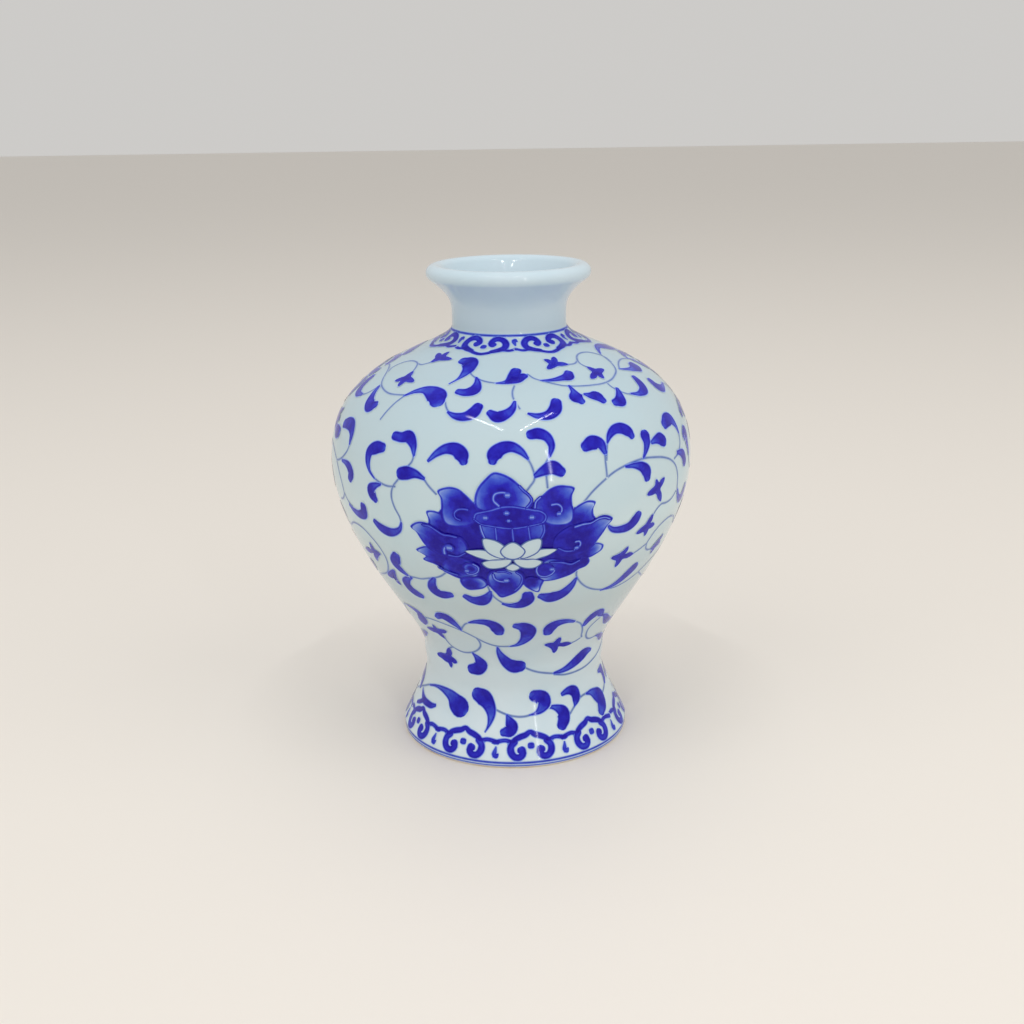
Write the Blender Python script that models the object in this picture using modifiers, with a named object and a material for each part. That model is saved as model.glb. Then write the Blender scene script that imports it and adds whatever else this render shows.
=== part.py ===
# A blue-and-white porcelain baluster vase, 180 mm tall, in metres with +Z up.
# The origin is the centre of the foot, on the surface that the vase stands on.
#
# The vase is thrown in four sections: mouth and neck, upper body, lower body and foot.
# Each section is cut flat at its edge, and a ring of slip (liquid clay) lutes it to the next.
# Every piece is a turned shape: half of its section, swept about Z by a Screw modifier.

import math

import bpy
import numpy as np
from mathutils import Vector
from mathutils.geometry import interpolate_bezier

MM = 0.001

# Driving dimensions
HEIGHT = 180 * MM
LIP_CREST_RADIUS = 26.6 * MM  # where the rolled lip is highest
LIP_REACH = 3.4 * MM  # from the crest out to the widest point of the lip
LIP_DROP = 3 * MM  # from the crest down to the widest point of the lip
NECK_RADIUS, NECK_Z = 20.9 * MM, 158.5 * MM  # narrowest
BELLY_RADIUS, BELLY_Z = 67 * MM, 110 * MM  # widest
WAIST_RADIUS, WAIST_Z = 34.9 * MM, 36 * MM  # narrowest, above the foot
FOOT_RADIUS = 43.6 * MM
FOOT_EDGE_Z = 3.3 * MM  # top of the upright band at the edge of the foot

NECK_WALL = 3.7 * MM
BODY_WALL = 4.2 * MM
FLOOR_THICKNESS = 5 * MM
FLOOR_FILLET = 9 * MM
FILLET_PULL = 0.6
FOOT_BEVEL = 0.9 * MM
FOOT_RING_WIDTH = 3.4 * MM  # the bare flat ring that the vase stands on
RING_HEIGHT = 7 * MM  # up to where the foot's hollow follows its outside

# The slip joints
NECK_SEAM_Z = 156.2 * MM
SLIP_THICKNESS = 0.8 * MM
SLIP_BEAD = 1.2 * MM  # slip that squeezes out inside and is wiped round
JOINT_GAP = 0.3 * MM  # clearance between neighbouring solids

# How strongly the wall's curve holds its direction as it leaves each of these places
FOOT_FLARE, FOOT_FLARE_ANGLE = 29.4 * MM, math.radians(63.6)
WAIST_PULL_DOWN, WAIST_PULL_UP = 10.9 * MM, 10.7 * MM
BELLY_PULL_DOWN, BELLY_PULL_UP = 31.4 * MM, 38.6 * MM
NECK_PULL_DOWN, NECK_PULL_UP = 9.6 * MM, 7.2 * MM
LIP_PULL = 11 * MM
LIP_START, LIP_END = math.radians(-50), math.radians(150)  # the stretch of the lip's ellipse

# Fineness of the turned shapes
TURN_STEPS = 48
SPAN_SAMPLES = 80
NECK_OUTER_POINTS = 9
LIP_POINTS = 8
MOUTH_POINTS = 7
SHOULDER_OUTER_POINTS = 13
SHOULDER_INNER_POINTS = 11
BOWL_OUTER_POINTS = 15
BOWL_INNER_POINTS = 9
FILLET_POINTS = 4
FOOT_OUTER_POINTS = 9
FOOT_INNER_POINTS = 7
BEAD_POINTS = 4

PORCELAIN_COLOUR, PORCELAIN_ROUGHNESS = (0.52, 0.66, 0.69, 1), 0.12
SLIP_COLOUR, SLIP_ROUGHNESS = (0.72, 0.68, 0.6, 1), 0.7


def clear_scene():
    for old in list(bpy.data.objects):
        bpy.data.objects.remove(old, do_unlink=True)


def point(radius, height):
    return np.array((radius, height))


def lip_point(angle):
    """A point of the lip's ellipse, from 0 at its widest point to a right angle at its crest."""
    out, up = LIP_REACH * math.cos(angle), LIP_DROP * math.sin(angle)
    return point(LIP_CREST_RADIUS + out, HEIGHT - LIP_DROP + up)


def lip_direction(angle):
    along = point(-LIP_REACH * math.sin(angle), LIP_DROP * math.cos(angle))
    return along / np.linalg.norm(along)


def smooth_line(spans, samples):
    """Rows of (radius, height) along Bezier spans, each given as start, two handles and end."""
    drawn = [np.array(interpolate_bezier(*map(Vector, span), samples)) for span in spans]
    return np.concatenate(drawn[:1] + [piece[1:] for piece in drawn[1:]])


def outer_line():
    """The outside of the wall, from the edge of the foot up to the underside of the lip."""
    foot = point(FOOT_RADIUS, FOOT_EDGE_Z)
    waist = point(WAIST_RADIUS, WAIST_Z)
    belly = point(BELLY_RADIUS, BELLY_Z)
    neck = point(NECK_RADIUS, NECK_Z)
    lip = lip_point(LIP_START)
    up = point(0, 1)
    flare = point(-math.cos(FOOT_FLARE_ANGLE), math.sin(FOOT_FLARE_ANGLE))
    spans = [
        (foot, foot + flare * FOOT_FLARE, waist - up * WAIST_PULL_DOWN, waist),
        (waist, waist + up * WAIST_PULL_UP, belly - up * BELLY_PULL_DOWN, belly),
        (belly, belly + up * BELLY_PULL_UP, neck - up * NECK_PULL_DOWN, neck),
        (neck, neck + up * NECK_PULL_UP, lip - lip_direction(LIP_START) * LIP_PULL, lip),
    ]
    return smooth_line(spans, SPAN_SAMPLES)


def offset_inwards(line, thickness):
    """The line moved towards the axis, square to itself."""
    along = np.gradient(line, axis=0)
    along /= np.linalg.norm(along, axis=1, keepdims=True)
    return line + thickness * np.stack([-along[:, 1], along[:, 0]], axis=1)


def radius_at(line, height):
    return np.interp(height, line[:, 1], line[:, 0])


def stretch(line, low, high, count):
    """A count of points evenly spaced along the line between two heights, lowest first."""
    heights = line[:, 1]
    between = line[(heights > low) & (heights < high)]
    ends = point(radius_at(line, low), low), point(radius_at(line, high), high)
    route = np.vstack([ends[0], between, ends[1]])
    walked = np.append(0, np.cumsum(np.linalg.norm(np.diff(route, axis=0), axis=1)))
    goals = np.linspace(0, walked[-1], count)
    return np.stack([np.interp(goals, walked, route[:, i]) for i in (0, 1)], axis=1)


def make_material(name, colour, roughness):
    material = bpy.data.materials.new(name)
    material.use_nodes = True
    shader = material.node_tree.nodes["Principled BSDF"]
    shader.inputs["Base Color"].default_value = colour
    shader.inputs["Roughness"].default_value = roughness
    shader.inputs["Metallic"].default_value = 0
    material.diffuse_color = colour
    return material


def turn(name, outline, closed, material, collection, parent):
    """Sweeps half of a section about Z. The outline runs down the outer side."""
    corners = [(radius, 0, height) for radius, height in outline]
    edges = [(i, i + 1) for i in range(len(corners) - 1)]
    if closed:
        edges.append((len(corners) - 1, 0))
    mesh = bpy.data.meshes.new(name)
    mesh.from_pydata(corners, edges, [])
    piece = bpy.data.objects.new(name, mesh)
    mesh.materials.append(material)
    collection.objects.link(piece)
    piece.parent = parent

    lathe = piece.modifiers.new("lathe", "SCREW")
    lathe.axis = "Z"
    lathe.angle = 2 * math.pi
    lathe.steps = TURN_STEPS
    lathe.render_steps = TURN_STEPS
    lathe.use_merge_vertices = True
    lathe.merge_threshold = 0.01 * MM
    lathe.use_smooth_shade = True
    return piece


def mouth_and_neck_outline(outer, inner):
    """The trumpet mouth, its rolled lip, and the neck down to the first slip joint."""
    seam = NECK_SEAM_Z + SLIP_THICKNESS / 2 + JOINT_GAP
    outside = stretch(outer, seam, outer[-1, 1], NECK_OUTER_POINTS)
    lip = [lip_point(angle) for angle in np.linspace(LIP_START, LIP_END, LIP_POINTS)]
    throat = point(NECK_RADIUS - NECK_WALL, NECK_Z)
    leave = lip[-1] + lip_direction(LIP_END) * LIP_PULL
    arrive = throat + point(0, NECK_PULL_UP)
    mouth = smooth_line([(lip[-1], leave, arrive, throat)], MOUTH_POINTS)
    seam_inside = point(radius_at(inner, seam), seam)
    # The loop is drawn up the outside, over the lip and down the inside, and then turned round
    return np.vstack([outside, lip[1:], mouth[1:], seam_inside])[::-1]


def upper_body_outline(outer, inner):
    """The shoulder, from the neck joint out and down to the belly joint."""
    top = NECK_SEAM_Z - SLIP_THICKNESS / 2 - JOINT_GAP
    bottom = BELLY_Z + SLIP_THICKNESS / 2 + JOINT_GAP
    outside = stretch(outer, bottom, top, SHOULDER_OUTER_POINTS)[::-1]
    inside = stretch(inner, bottom, top, SHOULDER_INNER_POINTS)
    return np.vstack([outside, inside])


def lower_body_outline(outer, inner):
    """The bowl with its floor. The outline starts and ends on the axis."""
    top = BELLY_Z - SLIP_THICKNESS / 2 - JOINT_GAP
    bottom = WAIST_Z + SLIP_THICKNESS / 2 + JOINT_GAP
    floor_z = bottom + FLOOR_THICKNESS
    wall_foot_z = floor_z + FLOOR_FILLET
    wall_foot = point(radius_at(inner, wall_foot_z), wall_foot_z)
    corner = point(radius_at(inner, floor_z), floor_z)
    flat_edge = corner - point(FLOOR_FILLET, 0)
    towards_corner = [p + FILLET_PULL * (corner - p) for p in (flat_edge, wall_foot)]
    fillet = smooth_line([(flat_edge, *towards_corner, wall_foot)], FILLET_POINTS)
    bowl_inside = stretch(inner, wall_foot_z, top, BOWL_INNER_POINTS)[1:]
    bowl_outside = stretch(outer, bottom, top, BOWL_OUTER_POINTS)[::-1]
    return np.vstack([point(0, floor_z), fillet, bowl_inside, bowl_outside, point(0, bottom)])


def foot_outline(outer, inner):
    """The hollow flared foot, with an upright bevelled edge and a flat bare standing ring."""
    top = WAIST_Z - SLIP_THICKNESS / 2 - JOINT_GAP
    bevel_top = point(FOOT_RADIUS, FOOT_BEVEL)
    ring_outer = point(FOOT_RADIUS - FOOT_BEVEL, 0)
    ring_inner = ring_outer - point(FOOT_RING_WIDTH, 0)
    outside = stretch(outer, FOOT_EDGE_Z, top, FOOT_OUTER_POINTS)[::-1]
    hollow = stretch(inner, RING_HEIGHT, top, FOOT_INNER_POINTS)
    return np.vstack([outside, bevel_top, ring_outer, ring_inner, hollow])


def slip_joint_outline(outer, inner, seam_z):
    """Slip trimmed flush outside, with a rounded bead left standing inside."""
    half = SLIP_THICKNESS / 2
    outside = [point(radius_at(outer, z), z) for z in (seam_z + half, seam_z - half)]
    bead_centre = point(radius_at(inner, seam_z) - SLIP_BEAD, seam_z)
    angles = np.linspace(-math.pi / 2, math.pi / 2, BEAD_POINTS)
    bead = [bead_centre + half * point(-math.cos(a), math.sin(a)) for a in angles]
    return np.vstack([outside, bead])


def main():
    clear_scene()
    collection = bpy.data.collections.new("porcelain_vase")
    bpy.context.scene.collection.children.link(collection)
    origin = bpy.data.objects.new("vase_origin", None)
    collection.objects.link(origin)

    outer = outer_line()
    inner = offset_inwards(outer, BODY_WALL)
    sections = {
        "mouth_and_neck": mouth_and_neck_outline(outer, inner),
        "upper_body": upper_body_outline(outer, inner),
        "lower_body": lower_body_outline(outer, inner),
        "foot": foot_outline(outer, inner),
    }
    joints = {
        "neck_slip_joint": NECK_SEAM_Z,
        "belly_slip_joint": BELLY_Z,
        "waist_slip_joint": WAIST_Z,
    }
    for name, outline in sections.items():
        glaze = make_material(name + "_porcelain", PORCELAIN_COLOUR, PORCELAIN_ROUGHNESS)
        turn(name, outline, name != "lower_body", glaze, collection, origin)
    for name, seam_z in joints.items():
        slip = make_material(name + "_fired_slip", SLIP_COLOUR, SLIP_ROUGHNESS)
        outline = slip_joint_outline(outer, inner, seam_z)
        turn(name, outline, True, slip, collection, origin)


main()
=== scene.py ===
import math

import bpy
import numpy as np
from mathutils import Matrix, Vector
from mathutils.geometry import interpolate_bezier


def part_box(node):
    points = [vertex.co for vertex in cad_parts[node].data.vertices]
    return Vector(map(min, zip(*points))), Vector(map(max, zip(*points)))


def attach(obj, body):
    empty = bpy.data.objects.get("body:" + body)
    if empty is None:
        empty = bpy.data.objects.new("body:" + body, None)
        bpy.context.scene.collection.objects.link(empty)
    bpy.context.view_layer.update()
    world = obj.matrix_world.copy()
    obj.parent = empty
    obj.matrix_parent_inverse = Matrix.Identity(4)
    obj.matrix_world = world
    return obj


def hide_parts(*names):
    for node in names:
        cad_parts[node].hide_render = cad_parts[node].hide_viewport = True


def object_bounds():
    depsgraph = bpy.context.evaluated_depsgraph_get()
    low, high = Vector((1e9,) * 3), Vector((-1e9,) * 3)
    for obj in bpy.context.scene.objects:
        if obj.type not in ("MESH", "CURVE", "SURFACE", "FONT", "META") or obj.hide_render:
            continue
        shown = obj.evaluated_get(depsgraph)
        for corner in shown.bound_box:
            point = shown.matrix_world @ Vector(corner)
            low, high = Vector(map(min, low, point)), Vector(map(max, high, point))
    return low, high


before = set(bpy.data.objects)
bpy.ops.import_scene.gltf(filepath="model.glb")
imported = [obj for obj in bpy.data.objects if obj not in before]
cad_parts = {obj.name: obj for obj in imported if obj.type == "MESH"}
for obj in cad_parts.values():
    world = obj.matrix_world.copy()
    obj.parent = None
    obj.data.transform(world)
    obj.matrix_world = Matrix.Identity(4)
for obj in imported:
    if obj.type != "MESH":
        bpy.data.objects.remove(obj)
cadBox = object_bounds()
print("frame loaded")

mm = 0.001
scene = bpy.context.scene

# Millimetres, as (radius, height); a pull is how far the curve holds its direction, down and up
vaseShape = {
    "standingEdge": (42.7, 0), "bevelTop": (43.6, 0.9), "footEdge": (43.6, 3.3),
    "waist": (34.9, 36), "belly": (67, 110), "neck": (20.9, 158.5),
    "footFlare": 29.4, "footFlareAngle": 63.6,
    "waistPull": (10.9, 10.7), "bellyPull": (31.4, 38.6), "neckPull": (9.6, 7.2),
    "lipPull": 11, "lipCrest": 26.6, "lipSize": (3.4, 3), "lipFrom": -50, "lipTo": 150,
    "bodyWall": 4.2, "neckWall": 3.7, "floorThickness": 5, "floorFillet": 9,
    "ringWidth": 3.4, "ringHeight": 7, "glazeStopsAt": 1.1,
    "turnSteps": 288, "outerRow": 1.1, "innerRow": 2.5, "lipRow": 0.8, "filletRow": 1.5,
    "curveSteps": 240, "filletSteps": 30, "lipSteps": 80, "throatSteps": 12, "filletPull": 0.6,
}
topHeight = cadBox[1][2] / mm


def seamHeight(joint):
    low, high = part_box(joint)
    return (low.z + high.z) / 2 / mm


neckSeam, bellySeam, waistSeam = [
    seamHeight(joint) for joint in ("neck_slip_joint", "belly_slip_joint", "waist_slip_joint")]


def lipPoint(degrees):
    reach, drop = vaseShape["lipSize"]
    turn = math.radians(degrees)
    return np.array((vaseShape["lipCrest"] + reach * math.cos(turn),
                     topHeight - drop + drop * math.sin(turn)))


def lipDirection(degrees):
    along = lipPoint(degrees + 0.5) - lipPoint(degrees - 0.5)
    return along / np.linalg.norm(along)


def curveThrough(spans, count=vaseShape["curveSteps"]):
    drawn = [np.array(interpolate_bezier(*[Vector(p) for p in span], count)) for span in spans]
    return np.concatenate(drawn[:1] + [span[1:] for span in drawn[1:]])


def lengthAlong(line):
    return np.append(0, np.cumsum(np.linalg.norm(np.diff(line, axis=0), axis=1)))


def squareTo(line):
    along = np.gradient(line, axis=0)
    along /= np.linalg.norm(along, axis=1, keepdims=True)
    return np.stack([along[:, 1], -along[:, 0]], axis=1)


def wallOutside():
    part = vaseShape
    foot, waist, belly, neck = [np.array(part[name]) for name in ("footEdge", "waist", "belly", "neck")]
    lip, up = lipPoint(part["lipFrom"]), np.array((0, 1))
    flare = math.radians(part["footFlareAngle"])
    leave = foot + part["footFlare"] * np.array((-math.cos(flare), math.sin(flare)))
    return curveThrough([
        (foot, leave, waist - up * part["waistPull"][0], waist),
        (waist, waist + up * part["waistPull"][1], belly - up * part["bellyPull"][0], belly),
        (belly, belly + up * part["bellyPull"][1], neck - up * part["neckPull"][0], neck),
        (neck, neck + up * part["neckPull"][1], lip - lipDirection(part["lipFrom"]) * part["lipPull"], lip)])


outside = wallOutside()
inside = (outside - squareTo(outside) * vaseShape["bodyWall"])[::-1]  # drawn downwards
insideRadius = {seam: np.interp(seam, inside[::-1, 1], inside[::-1, 0])
                for seam in (neckSeam, bellySeam, waistSeam)}


def overTheLip():
    # From the edge of the foot up the outside, round the lip and down into the throat
    part = vaseShape
    lip = np.array([lipPoint(a) for a in np.linspace(part["lipFrom"], part["lipTo"], part["lipSteps"])])
    throat = np.array(part["neck"]) - (part["neckWall"], 0)
    leave = lip[-1] + lipDirection(part["lipTo"]) * part["lipPull"]
    mouth = curveThrough([(lip[-1], leave, throat + (0, part["neckPull"][1]), throat)])
    end = (insideRadius[neckSeam], neckSeam)
    down = np.linspace(throat, end, part["throatSteps"])
    return np.vstack([outside, lip[1:], mouth[1:], down[1:]])


wholeWall = overTheLip()


def trace(line, start, end, spacing):
    # Evenly spaced points and their outward directions, between two lengths along a drawn line
    walked, normals = lengthAlong(line), squareTo(line)
    stops = np.linspace(start, end, max(2, round(abs(end - start) / spacing)))
    return [np.stack([np.interp(stops, walked, table[:, i]) for i in (0, 1)], axis=1)
            for table in (line, normals)]


def outerWall(low, high):
    walked = lengthAlong(outside)
    start, end = np.interp((low, high), outside[:, 1], walked)
    return trace(wholeWall, start, end, vaseShape["outerRow"])


def innerWall(high, low):
    walked = lengthAlong(inside)
    start, end = [np.interp(-z, -inside[:, 1], walked) for z in (high, low)]
    return trace(inside, start, end, vaseShape["innerRow"])


def straight(*points):
    line = np.array(points, float)
    return trace(line, 0, lengthAlong(line)[-1], vaseShape["innerRow"])


def turned(name, runs, material):
    # Sweeps runs of (radius, height) round the axis. Each run keeps its own directions, for crisp edges
    onAxis, sameSpot = 0.01, 0.02  # mm
    steps = vaseShape["turnSteps"]
    turn = np.arange(steps) * 2 * math.pi / steps
    across = np.stack([np.sin(turn), -np.cos(turn)], axis=1)
    rows = []  # the number of the first vertex of each row, and how many it has
    points, faces, normals = [], [], []

    def addRow(radius, height):
        count = steps if radius > onAxis else 1
        rows.append((len(points), count))
        for x, y in across[:count]:
            points.append((x * radius * mm, y * radius * mm, height * mm))

    last = sum(len(run[0]) - 1 for run in runs)
    isLoop = np.allclose(runs[0][0][0], runs[-1][0][-1], atol=sameSpot)
    addRow(*runs[0][0][0])
    for line, tilts in runs:
        for i in range(len(line) - 1):
            if isLoop and len(rows) == last:
                rows.append(rows[0])
            else:
                addRow(*line[i + 1])
            (low, lowCount), (high, highCount) = rows[-2:]
            for j in range(steps):
                k = (j + 1) % steps
                corners = [(low + j, 0, j), (low + k, 0, k), (high + k, 1, k), (high + j, 1, j)]
                if lowCount == 1:
                    corners = [(low, 0, j), corners[2], corners[3]]
                if highCount == 1:
                    corners = [corners[0], corners[1], (high, 1, j)]
                faces.append([corner[0] for corner in corners])
                for _, row, column in corners:
                    out, up = tilts[i + row]
                    normals.append((across[column][0] * out, across[column][1] * out, up))
    mesh = bpy.data.meshes.new(name)
    mesh.from_pydata(points, [], faces)
    mesh.shade_smooth()
    mesh.normals_split_custom_set(normals)
    mesh.materials.append(material)
    piece = bpy.data.objects.new(name, mesh)
    scene.collection.objects.link(piece)
    return piece


def linear(hexColour):
    values = [int(hexColour[i:i + 2], 16) / 255 for i in (0, 2, 4)]
    return [v / 12.92 if v <= 0.04045 else ((v + 0.055) / 1.055) ** 2.4 for v in values] + [1]


def addNode(tree, kind, links=None, stops=(), **settings):
    # stops are (place, hex colour), for a colour ramp only
    node = tree.nodes.new(kind)
    for name, value in settings.items():
        setattr(node, name, value)
    for socket, value in (links or {}).items():
        if isinstance(value, bpy.types.NodeSocket):
            tree.links.new(value, node.inputs[socket])
        else:
            node.inputs[socket].default_value = value
    for at, _ in stops[2:]:
        node.color_ramp.elements.new(at)
    for i, (at, hexColour) in enumerate(stops):
        node.color_ramp.elements[i].position = at
        node.color_ramp.elements[i].color = linear(hexColour)
    return node


def newMaterial(name):
    material = bpy.data.materials.new(name)
    material.use_nodes = True
    return material, material.node_tree, material.node_tree.nodes["Principled BSDF"]


glazeLook = {
    # the glazed clay's colour by height in mm, with painted shade in it: greyer low on the belly and by the
    # neck
    "groundWithShade": ((15, "d4e3eb"), (65, "bccbcf"), (98, "c9dce2"), (145, "b3c7d1"), (166, "c6d8e3")),
    "cloudColour": "b4cfdb", "cloudSize": 26, "cloudFrom": 0.45, "cloudTo": 0.75, "cloudShare": 0.35,
    "peelSize": 9, "peelDepth": 0.012,
    "glossFrom": 0.3, "glossTo": 0.7, "roughness": (0.05, 0.11), "indexOfRefraction": 1.47, "specular": 0.26,
    # the wash in the cobalt, and the least ink that covers the ground
    "washSize": 3.2, "washRoughness": 0.6, "washFrom": 0.3, "washTo": 0.7, "washStrength": (0.84, 1.1),
    "coverFrom": 0.18,
    # how much cobalt lies in the glaze, and the colour it fires to
    "cobalt": ((0.0, "bccfea"), (0.16, "9cb2e6"), (0.34, "6c86d8"), (0.56, "3d56cc"), (0.78, "2422b8"),
               (1.0, "170094")),
    "lineCobalt": ((0.0, "bfd0de"), (0.3, "90a6cc"), (0.6, "5f78b4"), (1.0, "3c4f98")),
}


def glazedPorcelain(name, cobalt):
    # Clear feldspar glaze fired over white porcelain, with cobalt oxide under it. The glaze gives a wet gloss
    # and a faint blue-green where it lies thick, and the cobalt shows paler where the brush left it thin
    look = glazeLook
    material, tree, shader = newMaterial(name)
    place = addNode(tree, "ShaderNodeTexCoord").outputs["Object"]
    height = addNode(tree, "ShaderNodeSeparateXYZ", {0: place}).outputs["Z"]
    rise = addNode(tree, "ShaderNodeMapRange", {"Value": height, "From Max": topHeight * mm}).outputs[0]
    # Painted shade: the glaze colour is made darker and greyer by height, low on the belly and by the neck
    heightColours = [(at / topHeight, fired) for at, fired in look["groundWithShade"]]
    groundWithShade = addNode(tree, "ShaderNodeValToRGB", {0: rise}, stops=heightColours).outputs[0]
    clouds = addNode(tree, "ShaderNodeTexNoise",
                     {"Vector": place, "Scale": 1 / (look["cloudSize"] * mm), "Detail": 3}).outputs[0]
    cloudShare = addNode(tree, "ShaderNodeMapRange", {
        "Value": clouds, "From Min": look["cloudFrom"], "From Max": look["cloudTo"],
        "To Max": look["cloudShare"]}).outputs[0]
    # 6 and 7 are the two colours of a colour mix, and 2 is what comes of them
    groundWithShade = addNode(tree, "ShaderNodeMix", {0: cloudShare, 6: groundWithShade, 7: linear(look["cloudColour"])},
                     data_type="RGBA").outputs[2]
    laid = addNode(tree, "ShaderNodeAttribute", attribute_name="ink").outputs["Fac"]
    wash = addNode(tree, "ShaderNodeTexNoise", {
        "Vector": place, "Scale": 1 / (look["washSize"] * mm), "Detail": 4,
        "Roughness": look["washRoughness"]}).outputs[0]
    weakest, strongest = look["washStrength"]
    strength = addNode(tree, "ShaderNodeMapRange", {
        "Value": wash, "From Min": look["washFrom"], "From Max": look["washTo"],
        "To Min": weakest, "To Max": strongest}).outputs[0]
    ink = addNode(tree, "ShaderNodeMath", {0: laid, 1: strength},
                  operation="MULTIPLY", use_clamp=True).outputs[0]
    inked = addNode(tree, "ShaderNodeValToRGB", {0: ink}, stops=cobalt).outputs[0]
    cover = addNode(tree, "ShaderNodeMapRange", {"Value": ink, "From Max": look["coverFrom"]}).outputs[0]
    colour = addNode(tree, "ShaderNodeMix", {0: cover, 6: groundWithShade, 7: inked}, data_type="RGBA").outputs[2]
    peel = addNode(tree, "ShaderNodeTexNoise",
                   {"Vector": place, "Scale": 1 / (look["peelSize"] * mm), "Detail": 1}).outputs[0]
    bump = addNode(tree, "ShaderNodeBump", {"Height": peel, "Distance": look["peelDepth"] * mm}).outputs[0]
    smooth, dull = look["roughness"]
    gloss = addNode(tree, "ShaderNodeMapRange", {
        "Value": clouds, "From Min": look["glossFrom"], "From Max": look["glossTo"],
        "To Min": smooth, "To Max": dull}).outputs[0]
    tree.links.new(colour, shader.inputs["Base Color"])
    tree.links.new(gloss, shader.inputs["Roughness"])
    tree.links.new(bump, shader.inputs["Normal"])
    shader.inputs["IOR"].default_value = look["indexOfRefraction"]
    shader.inputs["Specular IOR Level"].default_value = look["specular"]
    return material


clayLook = {
    "biscuit": "e9e3d6", "biscuitFlash": "cfa57e", "biscuitRoughness": 0.6,
    "slip": "d3d8d4", "slipFlash": "c2c6be", "slipRoughness": 0.55,
    "grainSize": 0.35, "grainDepth": 0.02,
    "flashSize": 12, "flashFrom": 0.5, "flashTo": 0.8, "flashShare": 0.5,
}


def bareClay(name, colour, flash, roughness):
    # Porcelain clay fired without glaze: dry and chalky, with fine grain, and flashed darker in patches
    look = clayLook
    material, tree, shader = newMaterial(name)
    place = addNode(tree, "ShaderNodeTexCoord").outputs["Object"]
    grain = addNode(tree, "ShaderNodeTexNoise",
                    {"Vector": place, "Scale": 1 / (look["grainSize"] * mm), "Detail": 5}).outputs[0]
    patch = addNode(tree, "ShaderNodeTexNoise",
                    {"Vector": place, "Scale": 1 / (look["flashSize"] * mm), "Detail": 2}).outputs[0]
    share = addNode(tree, "ShaderNodeMapRange", {
        "Value": patch, "From Min": look["flashFrom"], "From Max": look["flashTo"],
        "To Max": look["flashShare"]}).outputs[0]
    tint = addNode(tree, "ShaderNodeMix", {0: share, 6: linear(colour), 7: linear(flash)},
                   data_type="RGBA").outputs[2]
    bump = addNode(tree, "ShaderNodeBump", {"Height": grain, "Distance": look["grainDepth"] * mm}).outputs[0]
    tree.links.new(tint, shader.inputs["Base Color"])
    tree.links.new(bump, shader.inputs["Normal"])
    shader.inputs["Roughness"].default_value = roughness
    return material


glaze = glazedPorcelain("clearGlazeOverCobalt", glazeLook["cobalt"])
lineGlaze = glazedPorcelain("clearGlazeOverThinCobaltLines", glazeLook["lineCobalt"])
biscuit = bareClay("sandedBiscuitPorcelain", clayLook["biscuit"], clayLook["biscuitFlash"],
                   clayLook["biscuitRoughness"])
firedSlip = bareClay("firedLutingSlip", clayLook["slip"], clayLook["slipFlash"], clayLook["slipRoughness"])
print("materials made")

# Each slip ring tapers from a bead inside the wall to a thin tip under the glaze
jointLook = {
    "halfGap": 0.4, "tipInset": 0.8, "tipHalf": 0.05, "neckHalf": 0.33,
    "beadOut": 1.2, "beadHalf": 0.4, "beadSteps": 12, "beadRow": 0.15,
}


def mouthAndNeck():
    walked = lengthAlong(wholeWall)
    start = np.interp(neckSeam, outside[:, 1], walked[:len(outside)])
    wall = trace(wholeWall, start, walked[-1] - jointLook["halfGap"], vaseShape["lipRow"])
    return [wall, straight(wall[0][-1], wall[0][0])]


def upperBody():
    wall = outerWall(bellySeam, neckSeam)
    hollow = innerWall(neckSeam - jointLook["halfGap"], bellySeam + jointLook["halfGap"])
    return [wall, straight(wall[0][-1], hollow[0][0]), hollow, straight(hollow[0][-1], wall[0][0])]


def lowerBody():
    part = vaseShape
    under = waistSeam + jointLook["halfGap"]
    floor = under + part["floorThickness"]
    wall = outerWall(waistSeam, bellySeam)
    hollow = innerWall(bellySeam - jointLook["halfGap"], floor + part["floorFillet"])
    corner = np.array((np.interp(floor, inside[::-1, 1], inside[::-1, 0]), floor))
    flatEdge = corner - (part["floorFillet"], 0)
    fall = hollow[0][-1]
    pulls = [end + (corner - end) * part["filletPull"] for end in (fall, flatEdge)]
    bend = np.vstack([curveThrough([(fall, *pulls, flatEdge)], part["filletSteps"]), (0, floor)])
    fillet = trace(bend, 0, lengthAlong(bend)[-1], part["filletRow"])
    rim = (insideRadius[waistSeam], under)
    return [wall, straight(wall[0][-1], hollow[0][0]), hollow, fillet, straight(fillet[0][-1], (0, under)),
            straight((0, under), rim), straight(rim, wall[0][0])]


def footSection():
    part = vaseShape
    stop = part["glazeStopsAt"]
    upright = np.array([(part["footEdge"][0], stop), part["footEdge"]])
    edge = trace(upright, 0, part["footEdge"][1] - stop, part["outerRow"])
    wall = outerWall(part["footEdge"][1], waistSeam)
    hollow = innerWall(waistSeam - jointLook["halfGap"], part["ringHeight"])
    ringInside = part["standingEdge"][0] - part["ringWidth"]
    step = straight(hollow[0][-1], (ringInside, stop))
    return [edge, wall, straight(wall[0][-1], hollow[0][0]), hollow, step,
            straight((ringInside, stop), edge[0][0])]


# The glaze ends in a step, and the bare ring under it has a small bevel inside
ringLook = {"glazeStep": 0.12, "under": 0.02, "bevelWidth": 0.3, "bevelHeight": 0.25}


def bareRing():
    part, step = vaseShape, ringLook["glazeStep"]
    top = part["glazeStopsAt"] - ringLook["under"]
    inner = part["standingEdge"][0] - part["ringWidth"]
    outer, bevelTop = part["bevelTop"]
    route = [(inner + step, top), (inner + step, ringLook["bevelHeight"]),
             (inner + ringLook["bevelWidth"], 0), part["standingEdge"],
             (outer - step, bevelTop), (outer - step, top)]
    return [straight(a, b) for a, b in zip(route, route[1:] + route[:1])]


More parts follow.
